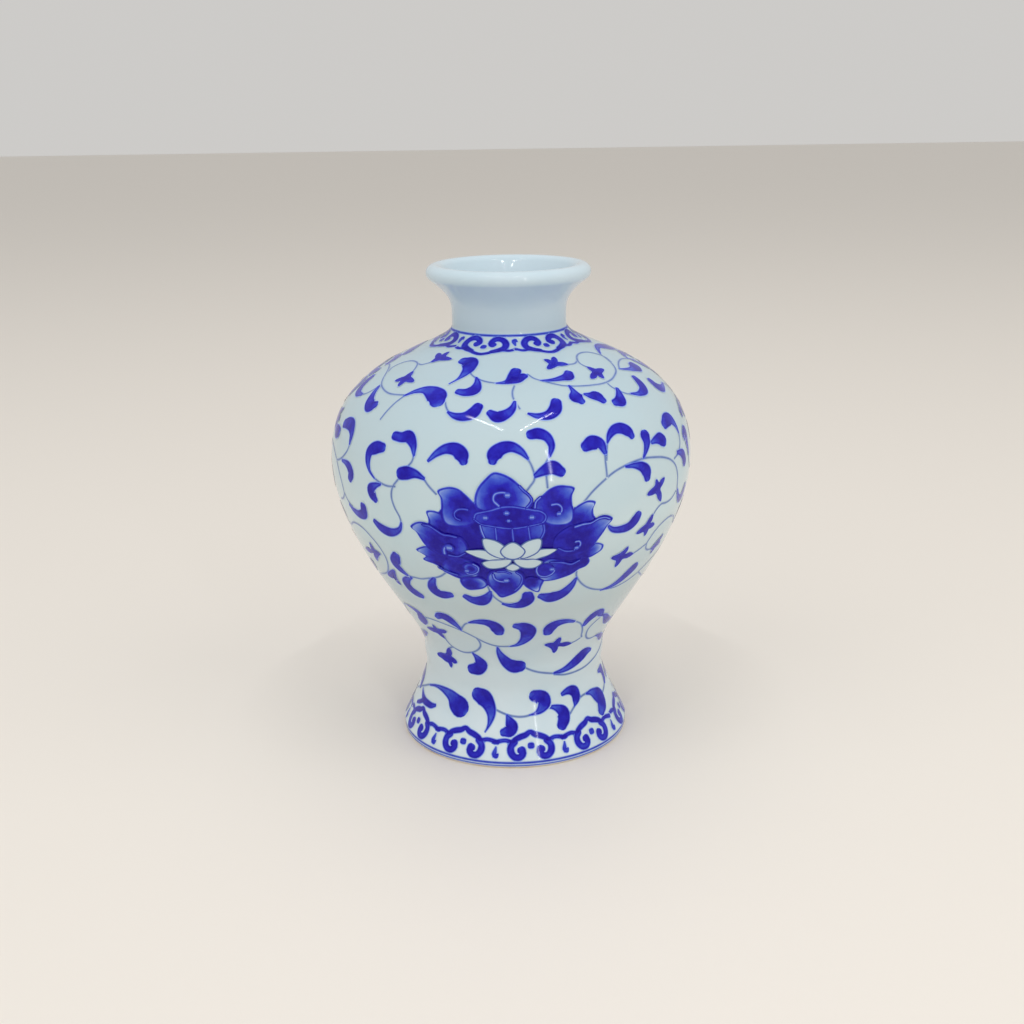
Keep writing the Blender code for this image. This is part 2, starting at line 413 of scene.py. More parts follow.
def slipRing(seam):
    look = jointLook
    outer = np.interp(seam, outside[:, 1], outside[:, 0]) - look["tipInset"]
    inner = insideRadius[seam]
    arc = np.radians(np.linspace(90, 270, look["beadSteps"]))
    bead = (inner - look["beadOut"], seam) + look["beadHalf"] * np.stack([np.cos(arc), np.sin(arc)], axis=1)
    tip = [(outer, seam - look["tipHalf"]), (outer, seam + look["tipHalf"])]
    shoulders = [(inner, seam + look["neckHalf"]), (inner, seam - look["neckHalf"])]
    beadEnd = trace(bead, 0, lengthAlong(bead)[-1], look["beadRow"])
    return [straight(*tip), straight(tip[1], shoulders[0], bead[0]), beadEnd,
            straight(bead[-1], shoulders[1], tip[0])]


sections = {
    "mouth_and_neck": mouthAndNeck(), "upper_body": upperBody(),
    "lower_body": lowerBody(), "foot": footSection(),
}
for name, runs in sections.items():
    skin = turned(name + "_glazed", runs, glaze)
    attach(skin, "root")
    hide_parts(name)
ring = turned("bare_foot_ring", bareRing(), biscuit)
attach(ring, "root")
for name, seam in (("neck", neckSeam), ("belly", bellySeam), ("waist", waistSeam)):
    joint = turned(name + "_slip_ring", slipRing(seam), firedSlip)
    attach(joint, "root")
    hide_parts(name + "_slip_joint")
print("sections turned")

# The painting is laid out on the outside by degrees round from the front and by mm walked up the wall
paintedLine = np.vstack([vaseShape["standingEdge"], vaseShape["bevelTop"], outside])
climb, paintedTilt = lengthAlong(paintedLine), squareTo(paintedLine)

brush = {
    # mm: how far the cobalt bleeds out, how far in it is darkest, and how far in the wash begins
    "bleed": 0.42, "softEdge": 0.22, "pool": 0.9,
    "edgeInk": 1, "washInk": 0.9, "rimInk": 0.36, "tailWash": 0.55, "overlapInk": 0.93,
    "lineWidth": 0.62, "lineInk": 0.72, "thinnest": 0.25, "broadFrom": 0.9, "lineBleed": 0.6, "lineEdge": 0.8,
    "edgeShare": 0.55, "poolShare": 0.25,  # of the half width, at least, where a stroke is narrow
    "endTurns": (25, 50, 70, 84), "endTip": 0.06,  # degrees round a stroke's end, and its last width
    "bendRoom": 0.85,  # of the bend's radius, that its inner edge may reach
    "tailWidths": (0.2, 0.95), "washDepths": (0.1, 0.7), "scraped": (0, 0.5, 1.1),
    "leastScale": 0.12, "leastReach": 0.3,  # what keeps a narrow petal from folding over its centre
    "tipDepths": (0.3, 0.9), "tipFades": (0, 0.65), "tipsFrom": (0.5, 0.95), "rimDepth": 0.2,
    "sampleEvery": 0.55, "ringEvery": 1.6, "reach": 6,  # mm along a stroke, between rings, to a neighbour
    "vineLift": 0.05, "leafLift": 0.08, "leafStep": 0.02, "budLift": 0.14,
}


def radiusAt(walked):
    return np.interp(walked, climb, paintedLine[:, 0])


def throughPoints(points, spacing, closed=False):
    # A smooth run through given points, whose first two numbers are degrees and mm
    path = np.array(points, float)
    if closed:
        path = np.vstack([path[-2:], path, path[:3]])
    across = np.radians(np.diff(path[:, 0])) * radiusAt((path[1:, 1] + path[:-1, 1]) / 2)
    walked = np.append(0, np.cumsum(np.hypot(across, np.diff(path[:, 1]))))
    slope = np.gradient(path, walked, axis=0)
    start, end = (walked[2], walked[-3]) if closed else (0, walked[-1])
    stops = np.linspace(start, end, max(4, round((end - start) / spacing) + 1))[:-1 if closed else None]
    i = np.clip(np.searchsorted(walked, stops, side="right") - 1, 0, len(path) - 2)
    gap = (walked[i + 1] - walked[i])[:, None]
    t = (stops - walked[i])[:, None] / gap
    return ((1 + 2 * t) * (1 - t) ** 2 * path[i] + t * (1 - t) ** 2 * gap * slope[i]
            + t * t * (3 - 2 * t) * path[i + 1] - t * t * (1 - t) * gap * slope[i + 1])


class BrushWork:
    # Gathers strokes and petals as strips of faces over the glaze, then makes them into one piece
    def __init__(self):
        self.degrees, self.walked, self.lifts, self.inks, self.faces = [], [], [], [], []
        self.count = 0
        self.laid = np.zeros((0, 4))  # degrees, mm, half width and ink of what is already down
        self.outlines = []

    def inkBelow(self, degrees, walked):
        # How dark the earlier strokes already are under these points
        low, high = walked.min() - brush["reach"], walked.max() + brush["reach"]
        near = self.laid[(self.laid[:, 1] > low) & (self.laid[:, 1] < high)]
        if not len(near):
            return np.zeros(degrees.shape)
        turn = (degrees[..., None] - near[:, 0] + 180) % 360 - 180
        x = np.radians(turn) * radiusAt(near[:, 1])
        depth = near[:, 2] - np.hypot(x, walked[..., None] - near[:, 1])
        return (inkAt(depth) * near[:, 3]).max(axis=-1)

    def addGrid(self, degrees, walked, ink, lift, closed=False):
        rows, columns = degrees.shape
        self.addPoints(degrees, walked, ink, lift)
        for i in range(rows - 1):
            for j in range(columns if closed else columns - 1):
                k, low, high = (j + 1) % columns, self.count + i * columns, self.count + (i + 1) * columns
                self.faces.append((low + j, high + j, high + k, low + k))
        self.count += rows * columns

    def addPoints(self, degrees, walked, ink, lift):
        for table, values in ((self.degrees, degrees), (self.walked, walked), (self.inks, ink),
                              (self.lifts, np.full(degrees.shape, lift))):
            table.append(values.ravel())

    def stroke(self, points, lift, tone=1, merge=True, light=None):
        # One pull of the brush along points of (degrees, mm) or (degrees, mm, width). A light stroke is
        # scraped out of the cobalt, so its middle is the pale part
        path = throughPoints(points, brush["sampleEvery"])
        if path.shape[1] == 2:
            path = np.column_stack([path, np.full(len(path), brush["lineWidth"])])
        half = np.maximum(path[:, 2], brush["thinnest"]) / 2
        size = radiusAt(path[:, 1])
        along = np.stack([np.radians(np.gradient(path[:, 0])) * size, np.gradient(path[:, 1])], 1)
        step = np.linalg.norm(along, axis=1)
        along /= step[:, None]
        bend = np.cross(along, np.gradient(along, axis=0)) / step
        room = brush["bendRoom"] / np.maximum(np.abs(bend), 1e-6)
        tables = [path[:, :2], half, size, along, room, np.ones(len(path)), bend]
        # Round ends, and a last row where the ink has bled away
        turn = np.radians(brush["endTurns"])
        for end, way in ((0, -1), (-1, 1)):
            edge, facing = half[end], along[end]
            out = np.append(edge * np.sin(turn), edge + brush["bleed"])
            narrow = np.append(edge * np.cos(turn), edge * brush["endTip"])
            ends = path[end, :2] + way * out[:, None] * (np.degrees(facing[0] / size[end]), facing[1])
            count = len(out)
            faded = np.clip((edge - out) / brush["softEdge"], 0, 1)
            more = [ends, narrow, np.full(count, size[end]), np.repeat(facing[None], count, 0),
                    np.full(count, np.inf), faded, np.zeros(count)]  # an end has no bend to keep clear of
            pairs = [(m[::-1], t) if way < 0 else (t, m) for m, t in zip(more, tables)]
            tables = [np.concatenate(pair) for pair in pairs]
        centre, half, size, along, room, fade, bend = tables
        full = half.max()
        isBroad = full > brush["broadFrom"] / 2
        if isBroad:
            offsets = [half + brush["bleed"], half,
                       np.maximum(half - brush["softEdge"], half * brush["edgeShare"]),
                       np.maximum(half - brush["pool"], half * brush["poolShare"])]
        else:
            offsets = [half + brush["bleed"] * brush["lineBleed"], half * brush["lineEdge"]]
        offsets = np.stack(offsets + [half * 0] + [-o for o in offsets[::-1]], axis=1)
        inner = np.sign(offsets) == np.sign(bend)[:, None]
        laidAt = np.where(inner, np.sign(offsets) * np.minimum(np.abs(offsets), room[:, None]), offsets)
        degrees = centre[:, :1] - np.degrees(along[:, 1:] * laidAt / size[:, None])
        walked = centre[:, 1:] + along[:, :1] * laidAt
        depth = half[:, None] - np.abs(offsets)
        if light is None:
            ink = inkAt(depth) * tone * fade[:, None]
        else:
            share = np.abs(offsets) / (full + 0.01)
            ink = np.interp(share, brush["scraped"], (light, (light + tone) / 2, tone))
            ink = np.where(fade[:, None] < 0.5, tone, ink)
        if light is None and isBroad:
            # The brush is fullest in the leaf's head, and runs out towards its tail
            load = np.interp(half / full, brush["tailWidths"], (brush["tailWash"], 1))[:, None]
            within = np.interp(depth, brush["washDepths"], (0, 1))
            ink *= 1 - within * (1 - load)
        if light is None and not isBroad:
            ink[:, 2] = tone * fade  # the middle of the line
        if merge and light is None:
            ink = np.maximum(ink, self.inkBelow(degrees, walked))
            body = fade == 1
            laid = np.column_stack([centre[body], half[body], np.full(body.sum(), tone)])
            self.laid = np.vstack([self.laid, laid])
        self.addGrid(degrees[:, ::-1], walked[:, ::-1], ink[:, ::-1], lift)

    def petal(self, outline, centre, lift, inks, spacing=0.7, merge=False, tipWash=None):
        # inks are (mm in from the outline, share of the way to the centre, ink), from the outside in. tipWash
        # is the ink inside the contour at the points furthest from the centre
        ring = throughPoints(outline, spacing, closed=True)
        size = radiusAt(centre[1])
        x, y = np.radians(ring[:, 0] - centre[0]) * size, ring[:, 1] - centre[1]
        reach = np.maximum(np.hypot(x, y), brush["leastReach"])
        degrees, walked, ink = [], [], []
        rings = [inks[0]]
        for before, after in zip(inks, inks[1:]):
            parts = max(1, math.ceil(reach.max() * (after[1] - before[1]) / brush["ringEvery"]))
            for i in range(1, parts + 1):
                rings.append(tuple(a + (b - a) * i / parts for a, b in zip(before, after)))
        for inset, share, amount in rings:
            scale = np.maximum(1 - inset / reach, brush["leastScale"]) * (1 - share)
            degrees.append(centre[0] + np.degrees(x * scale / size))
            walked.append(centre[1] + y * scale)
            ink.append(np.full(len(ring), amount))
        degrees, walked, ink = np.array(degrees), np.array(walked), np.array(ink)
        if tipWash is not None:
            inset, share = np.array(rings)[:, :2].T
            within = np.interp(inset, brush["tipDepths"], (0, 1)) * np.interp(share, brush["tipFades"], (1, 0))
            ink += (tipWash - ink) * within[:, None] * np.interp(reach / reach.max(), brush["tipsFrom"], (0, 1))
            # No bare porcelain shows between a petal and those it lies on
            rim = inset < brush["rimDepth"]
            for earlier in self.outlines:
                covered = isInside(degrees[rim], walked[rim], earlier)
                ink[rim] = np.where(covered, brush["overlapInk"], ink[rim])
        self.outlines.append(ring)
        if merge:
            ink = np.maximum(ink, self.inkBelow(degrees, walked))
            mid = np.hypot(x, y).mean() * 0.5
            self.laid = np.vstack([self.laid, (*centre, mid, 1)])
        turnsLeft = np.cross(np.stack([x, y], 1), np.roll(np.stack([x, y], 1), -1, 0)).sum() > 0
        if turnsLeft:
            degrees, walked, ink = degrees[:, ::-1], walked[:, ::-1], ink[:, ::-1]
        self.addGrid(degrees, walked, ink, lift, closed=True)
        last = self.count - len(ring)
        self.addPoints(np.array([centre[0]]), np.array([centre[1]]), ink[-1, :1], lift)
        for j in range(len(ring)):
            self.faces.append((last + j, self.count, last + (j + 1) % len(ring)))
        self.count += 1

    def bud(self, centre, stem, tips, lift):
        # A three-tipped bud, drawn round its centre as a lobe for each tip and a narrow one for the stem
        look = budLook
        size = radiusAt(centre[1])
        polar = []
        for end, (wide, narrow) in [(tip, look["tip"]) for tip in tips] + [(stem, look["stem"])]:
            x, y = math.radians(end[0] - centre[0]) * size, end[1] - centre[1]
            polar.append((math.atan2(y, x), math.hypot(x, y), wide, narrow, end is stem))
        polar.sort()
        outline = []
        for i, (angle, reach, wide, narrow, isStem) in enumerate(polar):
            root, top = wide / reach / look["root"], narrow / reach
            for aside, share in ((-root, look["root"]), (-top, look["top"]), (0, 1),
                                 (top, look["top"]), (root, look["root"])):
                outline.append((angle + aside, reach * share))
            nextAngle, nextReach, *_, nextIsStem = polar[(i + 1) % len(polar)]
            following = nextAngle + (2 * math.pi if i + 1 == len(polar) else 0)
            valley = look["valley"] * (reach + nextReach)
            if isStem or nextIsStem:
                valley = look["stemValley"]
            outline.append(((angle + following) / 2, valley))
        corners = [(centre[0] + math.degrees(out * math.cos(angle) / size), centre[1] + out * math.sin(angle))
                   for angle, out in outline]
        self.petal(corners, centre, lift, look["inks"], look["spacing"], merge=True)

    def piece(self, name, turns=0, material=glaze):
        degrees, walked = np.concatenate(self.degrees) + turns, np.concatenate(self.walked)
        lifts, inks = np.concatenate(self.lifts), np.concatenate(self.inks)
        tilt = [np.interp(walked, climb, paintedTilt[:, i]) for i in (0, 1)]
        steep = np.hypot(*tilt)
        out, up = tilt[0] / steep, tilt[1] / steep
        turn = np.radians(degrees)
        radius = radiusAt(walked) + out * lifts
        height = np.interp(walked, climb, paintedLine[:, 1]) + up * lifts
        points = np.stack([radius * np.sin(turn), -radius * np.cos(turn), height], axis=1) * mm
        mesh = bpy.data.meshes.new(name)
        mesh.from_pydata(points.tolist(), [], self.faces)
        mesh.shade_smooth()
        mesh.normals_split_custom_set_from_vertices(
            np.stack([out * np.sin(turn), -out * np.cos(turn), up], axis=1).tolist())
        ink = mesh.attributes.new("ink", "FLOAT", "POINT")
        ink.data.foreach_set("value", inks.astype(np.float32))
        mesh.materials.append(material)
        made = bpy.data.objects.new(name, mesh)
        scene.collection.objects.link(made)
        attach(made, "root")


def isInside(x, y, outline):
    # Which points a closed outline holds, by how often it crosses a line from each
    found = np.zeros(x.shape, bool)
    for (x0, y0), (x1, y1) in zip(outline[:, :2], np.roll(outline[:, :2], -1, 0)):
        crosses = (y0 > y) != (y1 > y)
        if crosses.any():
            found ^= crosses & (x < x0 + (x1 - x0) * (y - y0) / (y1 - y0))
    return found


def inkAt(depth):
    return np.interp(depth, (-brush["bleed"], 0, brush["softEdge"], brush["pool"]),
                     (0, brush["rimInk"], brush["edgeInk"], brush["washInk"]))


budLook = {
    "tip": (1.25, 0.42), "stem": (1.3, 0.35),  # half widths of a lobe in mm, at its root and its top
    "root": 0.62, "top": 0.95, "valley": 0.25,  # as shares of the lobes' reach
    "stemValley": 1.9, "spacing": 0.4,
    "inks": [(-0.42, 0, 0), (0, 0, 0.36), (0.22, 0, 1), (0.8, 0, 0.78), (0.8, 0.5, 0.9)],
}

# Vines are (degrees, mm) through their middle; leaves add the width of the stroke in mm
shoulderVines = [
    [(-90, 162), (-84, 163.5), (-80, 164), (-75, 163.2), (-71, 161.5), (-67, 158.8), (-63, 156.3),
     (-58, 154.7), (-52, 153.8), (-47, 154.2), (-43, 154.8)],
    [(-70, 162), (-72, 164), (-71, 167), (-67, 169.8), (-62, 170.8), (-57, 170.2), (-54, 168),
     (-52.5, 165.5)],
    [(-57, 170.2), (-53, 170.2), (-50, 171.7), (-48.5, 172.5)],
    [(-43.5, 154.5), (-45.5, 151), (-47, 147), (-48, 143.5)],
    [(-20, 169), (-17, 167), (-13, 165.3), (-10, 164.5), (-6, 163.9)],
    [(8.5, 168.5), (11, 166), (14, 164.5), (18, 162.8), (23, 161), (28, 160.2), (35, 159.6), (42, 159.5),
     (47, 160.2), (52, 161.8), (57, 164), (60, 166.5), (62.5, 170), (64, 173), (66, 174.6)],
    [(42, 168.8), (40.5, 171.5), (42, 174.3), (46.5, 176.6), (51.5, 177.2), (57, 176.6), (61.5, 174.5),
     (64, 171.5), (62, 168)],
    [(33, 172), (37, 172), (40, 173), (43, 175)],
    [(43.5, 159.5), (43.8, 157.5), (46, 154.5), (49, 152.6), (52, 151.8)],
    [(60, 163.8), (65, 166), (70, 167), (76, 166.8), (83, 164.8), (90, 162)],
    [(1.8, 162.5), (0.9, 159.5), (1, 157), (1.8, 154.8), (3.3, 151.8)],
]
shoulderLeaves = [
    [(-43.5, 154.5, 0.8), (-40, 157, 2), (-36, 158.3, 3.6), (-31.5, 157.4, 6.2), (-28.4, 155.4, 7),
     (-27.8, 154.2, 5.8)],
    [(-28, 175.8, 4.2), (-24.5, 175.5, 6), (-22, 172, 5), (-22.5, 168.5, 3.2), (-24, 165.5, 1.2),
     (-27, 162.3, 0.4)],
    [(-15.8, 166.8, 0.6), (-14.3, 163.5, 2.6), (-14.8, 160.2, 4.6), (-18, 158.8, 3.6), (-21, 159, 2.6)],
    [(-6, 163.8, 0.6), (-1.5, 164.5, 2.2), (1.5, 167.2, 4.2), (3, 170.5, 3.8)],
    [(-1, 164, 1.5), (3, 165.5, 3.6), (6.5, 167.5, 3)],
    [(14, 164.6, 0.6), (19, 164.4, 1.6), (24, 164.9, 2.8), (27.5, 165.5, 4.2), (29, 167.2, 3.2)],
    [(25, 160.8, 0.8), (25.5, 158, 2.2), (25.5, 155, 5.4), (26.5, 153.3, 3)],
    [(29.3, 156, 1), (31.5, 155, 3), (34, 154.3, 4.6), (35.3, 152.3, 3)],
    [(45.8, 155.8, 1.4), (44.6, 153.2, 3), (42.6, 150.6, 4.6), (40, 150.4, 3)],
    [(65.5, 173.8, 0.6), (70, 175.8, 1.6), (76, 176.8, 2.4), (82, 175.8, 4), (88, 173.8, 5), (93, 172, 5)],
    [(60.5, 163.6, 0.6), (65, 162.3, 1.4), (70, 161.2, 3), (74.5, 161.2, 5.6), (76.5, 161.5, 5)],
    [(50.5, 152.3, 0.8), (55, 151.3, 2.2), (60, 152.5, 4), (62, 156.3, 3.6), (62.3, 157.8, 2.8)],
    [(82, 165.1, 0.8), (86, 167, 2.2), (90, 167.6, 3.6), (94, 166.2, 4.4), (95.5, 164, 3.2)],
    [(84, 164.4, 0.8), (87, 160.6, 2.4), (90.5, 157.6, 3.8), (94, 157.3, 4.4), (96, 159, 3.2)],
]
shoulderBuds = [  # centre, stem, and the tips of the three lobes
    [(-46.5, 175.5), (-48.5, 172.3), (-53, 178), (-45.5, 180), (-37, 176)],
    [(-51.5, 162), (-52.3, 166), (-56.5, 159.5), (-51, 157.5), (-45, 161)],
    [(25.5, 173.5), (33, 172), (19.5, 170.5), (21, 176.5), (28.5, 177.5)],
    [(44, 165.5), (42, 169), (37.5, 162.5), (44, 161.5), (50, 166)],
]
bellyVines = [
    [(-44.5, 123.2), (-42, 122.2), (-39, 121.6), (-36, 122)],
    [(-35, 124.5), (-37, 121.5), (-37.6, 118), (-36.8, 114.5), (-35.3, 111), (-35, 108)],
    [(-26, 126), (-24.5, 124), (-22, 121.3)],
    [(-70, 149.3), (-67, 150.6), (-64.5, 153), (-63.2, 155.8)],
    [(-59.8, 132), (-60.5, 129.6), (-62.5, 127.2), (-66, 124.8), (-69.5, 123.6)],
    [(-85, 127), (-80, 127.5), (-75, 126.8), (-70, 124), (-66.5, 119.5), (-64.5, 115), (-64.3, 112.5),
     (-66, 110.5), (-70, 108.7)],
    [(-64, 113), (-62, 110.5), (-59, 109)],
    [(-30, 133.5), (-30.6, 131), (-31.5, 129.8)],
    [(-24.5, 154), (-23, 151.5), (-22, 150.3)],
    [(4.8, 134), (6, 131), (6.5, 127), (5, 124.5), (4, 123)],
    [(11.3, 134.5), (10, 132), (10, 128), (10.2, 124)],
    [(28.8, 133.8), (28.6, 130.8), (28.6, 125.5)],
    [(30.4, 136.8), (29.6, 134), (29, 131)],
    [(21, 118), (23.5, 121), (27, 124), (31, 126.6), (35, 128), (39, 128.8), (43, 129), (48, 128.3),
     (53, 127), (57, 125), (60, 122), (61.5, 118), (62, 114), (62.8, 111)],
    [(61.5, 112.5), (59, 110.5), (55, 109.9), (52.5, 110.2), (50.3, 109), (48.8, 107)],
    [(66, 132), (65, 129), (62.5, 126.3), (59, 125)],
    [(73.5, 123), (74.5, 120), (78, 117), (84, 115.6), (88.5, 117), (91.5, 120.5), (93, 125), (95, 127)],
    [(82, 149.6), (86, 147.8), (89, 144.6), (90.3, 140.5), (89.5, 136.5), (87, 133.5)],
    [(56, 79.5), (62, 76), (71, 72.3), (80, 70), (89, 69)],
    [(-70, 98), (-67, 99.5), (-64, 101), (-60, 101.7), (-56, 101), (-53, 99), (-50.5, 96.3), (-49.2, 93.5),
     (-48.8, 91), (-49.3, 88), (-51, 85), (-53.5, 82.3), (-57, 80.3), (-62, 78.3), (-68, 75.8),
     (-75, 73.3), (-84, 70.5), (-91, 69)],
    [(-39.5, 84.5), (-37, 84.5), (-34, 84.6), (-31, 85.6), (-27.5, 86.7), (-25, 88), (-22.5, 90.3)],
    [(-8.8, 85), (-8.2, 82.5), (-7, 79.5), (-4.5, 76.7), (-3, 75.6)],
    [(21.5, 90), (21.8, 88), (23.5, 85), (27, 81.3), (30, 79.4), (34, 77.9), (37, 77.2), (42, 76.4),
     (47, 76.8), (52, 78), (56, 79.5), (62, 82.5), (70, 85), (80, 86)],
    [(65, 101.5), (62, 102.2), (58, 101.8), (54.5, 100.2), (52, 97.5), (50.8, 94.8), (51.3, 92.5),
     (53.5, 90.8), (56, 90.3)],
    [(44, 92), (47, 93), (50.8, 94.8)],
    [(65, 101.5), (68, 100), (71, 97), (76, 95), (84, 94.3), (92, 95.3), (99, 97.2), (105, 98.2),
     (110, 98)],
]
bellyLeaves = [
    [(-79, 156, 3.6), (-79, 153.5, 4.8), (-77.5, 150.5, 4.6), (-74, 148.8, 3), (-70, 149.3, 1.2)],
    [(-62.8, 154.8, 1.6), (-61.8, 151.5, 2.8), (-59.5, 148, 4.6), (-57, 147, 5), (-55.2, 148, 3.2)],
    [(-68.8, 137.3, 3.4), (-66, 138.2, 4.4), (-62.5, 138, 4.6), (-60.3, 135.5, 2.9), (-59.8, 132, 1.1)],
    [(-64, 124.9, 0.9), (-61, 124.9, 2), (-58.3, 123.9, 3.6), (-57, 121.8, 4), (-57.8, 120, 3)],
    [(-71.8, 133.2, 4), (-74.3, 132.9, 5), (-78, 133.6, 2.6), (-81.5, 135.3, 1.6)],
    [(-61.5, 109, 0.8), (-58.5, 107.6, 2.4), (-54.5, 107.2, 3.4), (-52, 108.5, 4), (-51.5, 111, 3.6)],
    [(-42.5, 134.2, 3.4), (-45, 133.8, 4.6), (-47.8, 131.8, 3.8), (-48, 128.5, 2.6), (-46.8, 125.4, 1.2),
     (-44.5, 123.2, 0.6)],
    [(-41.8, 121.6, 0.8), (-44, 120.8, 2.2), (-46.2, 118.8, 4), (-45.5, 116.8, 4), (-44.6, 115.6, 2.6)],
    [(-38.6, 139, 3.2), (-36, 138.9, 3.6), (-33.5, 139.5, 4.4), (-31, 137, 3), (-30, 133.5, 1)],
    [(-33.8, 126.8, 4.4), (-31.8, 127.3, 4.6), (-29, 127.4, 3), (-26, 126.2, 1.2)],
    [(-25, 132.2, 1), (-22.5, 135, 2.4), (-19.5, 136.8, 3.6), (-16.3, 136.6, 4.6), (-14.4, 134.4, 4.6),
     (-14, 133, 3)],
    [(-22, 149.9, 0.8), (-19, 148.6, 2.4), (-15.5, 148.6, 3.6), (-12.8, 150.3, 4.4), (-11.6, 152.6, 3.6)],
    [(1.6, 155, 1), (0.8, 152.3, 2.4), (-1.6, 149.8, 3.8), (-4.5, 148.8, 4.4), (-7, 150.3, 2.6)],
    [(6, 149.8, 0.8), (9.5, 148.6, 2.4), (13.3, 149, 3.8), (15.8, 151.2, 4.4), (16.8, 153.8, 3.8)],
    [(4.8, 134, 1), (3, 136.3, 2.4), (0, 138, 3.6), (-3, 137.4, 4.4), (-5.2, 134.8, 4.6), (-5.4, 133.4, 3)],
    [(6.2, 142, 3.4), (8.5, 142.3, 4), (11, 141, 3.4), (12.2, 138, 2.4), (11.3, 134.5, 1)],
    [(7, 128.4, 1.8), (9, 129.6, 3.2), (12, 130.6, 4.6), (14.3, 129, 3.4)],
    [(22.8, 136.5, 3.6), (25.3, 137.5, 5), (27.8, 136.8, 4), (28.8, 133.8, 1.8)],
    [(30.4, 136.8, 0.8), (31.8, 139, 2.2), (34.5, 140.8, 3.4), (37.5, 140.6, 4.2), (39.8, 138.6, 3.8),
     (40.2, 137.6, 2.8)],
    [(43, 129.4, 0.8), (44.6, 131.6, 2), (45.8, 134.3, 3.6), (45.9, 136.3, 4.6)],
    [(48, 133.5, 1.4), (50.5, 133.9, 3), (53, 133.5, 4.8), (54, 132.8, 4.4)],
    [(58, 137.8, 3.6), (60.5, 138.8, 5), (63.3, 138.6, 4.6), (65.3, 135.8, 2.6), (66, 132.6, 0.9)],
    [(61.5, 126.6, 1.2), (64, 125.9, 2.4), (66.5, 124.3, 3.8), (67.6, 121.8, 4)],
    [(70.6, 130.5, 4), (72.5, 131.5, 4.6), (72.5, 127.5, 3.4), (73.5, 123, 1.4)],
    [(35.5, 127.7, 0.8), (39.3, 127.3, 2.2), (42.2, 126.1, 3.8), (43.7, 124.2, 4.6), (43.9, 122.2, 3.2)],
    [(71.3, 153.4, 3.8), (71.6, 151, 4.6), (74, 149.3, 4), (77.5, 149, 2.2), (82, 149.6, 0.9)],
    [(77, 137.3, 3), (79.5, 139, 2), (82, 141, 1)],
    [(-28.3, 86, 1.6), (-30, 83, 3.4), (-30.2, 79.8, 4.6), (-28, 78.2, 4.2), (-25, 78.5, 3.4),
     (-23.8, 78.7, 2.8)],
    [(-8, 82.3, 1), (-9.3, 79.5, 3.4), (-12.2, 77, 5), (-15.2, 77.2, 3.8), (-17.6, 78.7, 2.6)],
    [(-4, 75.8, 1), (-0.5, 74.9, 2.4), (3.3, 75.6, 4), (5.3, 78, 4.8), (5.2, 80.3, 4)],
    [(22, 86.6, 1), (20.8, 83, 3), (17.8, 79.3, 4.6), (13.8, 78.2, 5.2), (10.2, 79.3, 2.8)],
    [(-46.8, 106.5, 2.4), (-45, 105, 3.6), (-42, 104, 4), (-38.5, 104.6, 2.8), (-36, 106.5, 1.6),
     (-35, 109, 0.7)],
    [(-41.8, 93.5, 3.6), (-43, 91.5, 4.6), (-44.3, 89.3, 4.2), (-42.5, 86.5, 3), (-40.5, 84.8, 1.4)],
    [(-38.8, 84, 1), (-41.5, 82.5, 2.6), (-43.6, 79.8, 4), (-43, 77, 4.4), (-40.5, 75.3, 4),
     (-38.8, 74.7, 3)],
    [(-80, 75.5, 1), (-75, 77.5, 2.4), (-70, 79.5, 4), (-66.5, 82.3, 3.5)],
    [(29.5, 108, 0.8), (31.5, 106, 2), (35, 105.2, 3), (38.5, 105.8, 3.8), (40.5, 108, 4.2),
     (41, 109, 3.6)],
    [(35, 77.2, 0.6), (40, 77.8, 1.8), (44, 79.6, 3.4), (47, 82, 4.6), (49.3, 84, 4.8)],
    [(62.8, 112.5, 0.8), (64.5, 109.5, 2), (67.5, 107.8, 3.4), (70.5, 109, 4.4), (71.3, 110.8, 3.8)],
    [(78, 86, 0.8), (82, 84.6, 2.4), (86, 85, 3.8), (88.6, 87.3, 4.4), (88.5, 89.3, 3.2)],
    [(93, 125, 0.8), (90.8, 128, 2.2), (87.8, 130, 3.6), (84.8, 129.4, 4.6), (83.2, 127.2, 3.4)],
    [(92.6, 122, 0.8), (95.6, 119.6, 2.4), (98.6, 117.4, 3.8), (100, 114, 4.6), (98.6, 111.6, 3.2)],
    [(86, 115.8, 0.8), (86.6, 112.4, 2.4), (88.6, 109.6, 3.8), (91.6, 108.4, 4.6), (94, 109.4, 3.2)],
    [(97, 96.7, 0.8), (98.4, 100, 2.2), (101, 102.6, 3.8), (104.4, 103, 4.6), (106.6, 101.4, 3.2)],
    [(91, 95.1, 0.8), (93.4, 92, 2.2), (96.6, 89.6, 3.8), (100, 90, 4.6), (101.8, 92.2, 3.2)],
    [(72, 97, 0.8), (74.4, 100.4, 2.2), (77.6, 102.4, 3.8), (81, 101.6, 4.6), (82.6, 99.4, 3.2)],
    [(89.3, 143.6, 0.8), (92.4, 145.6, 2.4), (95, 148.6, 3.8), (94.6, 152, 4.6), (92.4, 153.6, 3.2)],
    [(90, 141.6, 0.8), (86.8, 141, 2), (84, 138.6, 3.6), (82.6, 135.6, 3)],
    [(73, 71.7, 0.8), (77, 74.6, 2.4), (81.6, 76.8, 3.8), (86, 76.4, 4.6), (88, 74.4, 3.2)],
]
